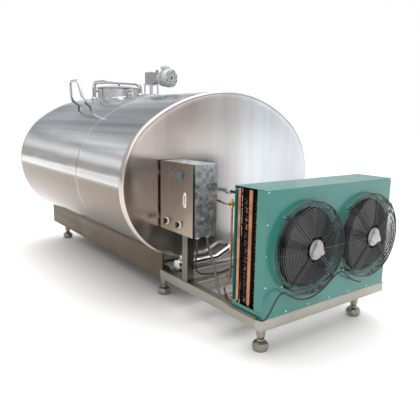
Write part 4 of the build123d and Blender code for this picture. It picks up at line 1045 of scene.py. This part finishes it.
# ---------------------------------------------------------------- whole
def finish_cad_nodes():
    """Gives every CAD node that still shows its own material."""
    slots = {part["node"]: part["material_slot"] for part in frame["record"]["subparts"]}
    for name, obj in nodes.items():
        obj.data.materials.clear()
        obj.data.materials.append(finishes[slots[name]].material)


def make_floor():
    """A pale floor that isn't part of the machine."""
    bm = bmesh.new()
    bmesh.ops.create_grid(bm, x_segments=1, y_segments=1, size=60)
    mesh = bpy.data.meshes.new("floor")
    bm.to_mesh(mesh)
    bm.free()
    floor = bpy.data.objects.new("floor", mesh)
    floor.data.materials.append(finishes["pale_floor"].material)
    bpy.context.scene.collection.objects.link(floor)


def make_studio():
    """The sky: plain white to the camera, and bright and grey bands in what the steel reflects."""
    world = bpy.data.worlds.new("studio")
    bpy.context.scene.world = world
    world.use_nodes = True
    tree = world.node_tree
    tree.nodes.clear()
    where = tree.nodes.new("ShaderNodeTexCoord")
    split = tree.nodes.new("ShaderNodeSeparateXYZ")
    ramp = tree.nodes.new("ShaderNodeValToRGB")
    glow = tree.nodes.new("ShaderNodeBackground")
    white = tree.nodes.new("ShaderNodeBackground")
    ray = tree.nodes.new("ShaderNodeLightPath")
    choose = tree.nodes.new("ShaderNodeMixShader")
    out = tree.nodes.new("ShaderNodeOutputWorld")
    tree.links.new(where.outputs["Generated"], split.inputs[0])
    tree.links.new(split.outputs[2], ramp.inputs[0])
    tree.links.new(ramp.outputs[0], glow.inputs[0])
    tree.links.new(ray.outputs["Is Camera Ray"], choose.inputs[0])
    tree.links.new(glow.outputs[0], choose.inputs[1])
    tree.links.new(white.outputs[0], choose.inputs[2])
    tree.links.new(choose.outputs[0], out.inputs[0])
    white.inputs[0].default_value = (1, 1, 1, 1)
    white.inputs[1].default_value = 1.0
    glow.inputs[1].default_value = 1.0
    stops = [(0.0, (0.46, 0.43, 0.41)), (0.07, (0.36, 0.35, 0.35)), (0.16, (0.95, 0.95, 0.96)),
             (0.24, (0.36, 0.37, 0.40)), (0.31, (0.85, 0.87, 0.90)), (0.42, (0.62, 0.63, 0.66)),
             (0.58, (0.80, 0.80, 0.81)), (0.72, (1.7, 1.7, 1.7)), (1.0, (2.1, 2.1, 2.1))]
    while len(ramp.color_ramp.elements) < len(stops):
        ramp.color_ramp.elements.new(0.5)
    for element, (place, colour) in zip(ramp.color_ramp.elements, stops):
        element.position = place
        element.color = (*colour, 1)


def make_lights():
    """Soft lights: each one's name, place, target, size, power and colour."""
    for name, spot, aim, size, power, colour in (
            ("overhead", (0.5, 0.5, 5.2), (0, 0, 0.9), (5.0, 3.0), 105, (1.0, 1.0, 1.0)),
            ("key", (-3.0, -5.5, 3.6), (0, -0.8, 0.8), (3.0, 2.2), 40, (1.0, 0.985, 0.96)),
            ("window", (5.1, -5.0, 1.75), (0.3, -0.6, 1.4), (2.6, 3.4), 20, (0.93, 0.97, 1.0))):
        light = bpy.data.lights.new(name, "AREA")
        light.shape = "RECTANGLE"
        light.size, light.size_y = size
        light.energy = power
        light.color = colour
        lamp = bpy.data.objects.new(name, light)
        lamp.location = spot
        lamp.rotation_euler = (Vector(aim) - Vector(spot)).to_track_quat("-Z", "Y").to_euler()
        bpy.context.scene.collection.objects.link(lamp)


def make_camera():
    """The camera, aimed by its yaw, pitch and roll."""
    yaw, pitch, roll = math.radians(36.91), math.radians(11.08), math.radians(0.97)
    ahead = Vector((math.sin(yaw) * math.cos(pitch), math.cos(yaw) * math.cos(pitch), -math.sin(pitch)))
    right = Vector((math.cos(yaw), -math.sin(yaw), 0))
    up = right.cross(ahead)
    tilted_right = math.cos(roll) * right + math.sin(roll) * up
    tilted_up = -math.sin(roll) * right + math.cos(roll) * up
    turn = Matrix((tilted_right, tilted_up, -ahead)).transposed().to_4x4()
    lens = bpy.data.cameras.new("camera")
    lens.sensor_width = 36
    lens.lens = 39.9
    camera = bpy.data.objects.new("camera", lens)
    camera.matrix_world = Matrix.Translation((-2.3217, -3.5454, 1.396)) @ turn
    bpy.context.scene.collection.objects.link(camera)
    bpy.context.scene.camera = camera
    bpy.context.scene.view_settings.view_transform = "Standard"


make_jacket_finishes()
make_steels()
make_paints()
make_warm_metals()
make_coil_and_display_finishes()
finish_cad_nodes()
make_tank()
make_base()
make_unit()
make_pipes()
make_cabinet()
make_cords()
make_floor()
make_studio()
make_lights()
make_camera()
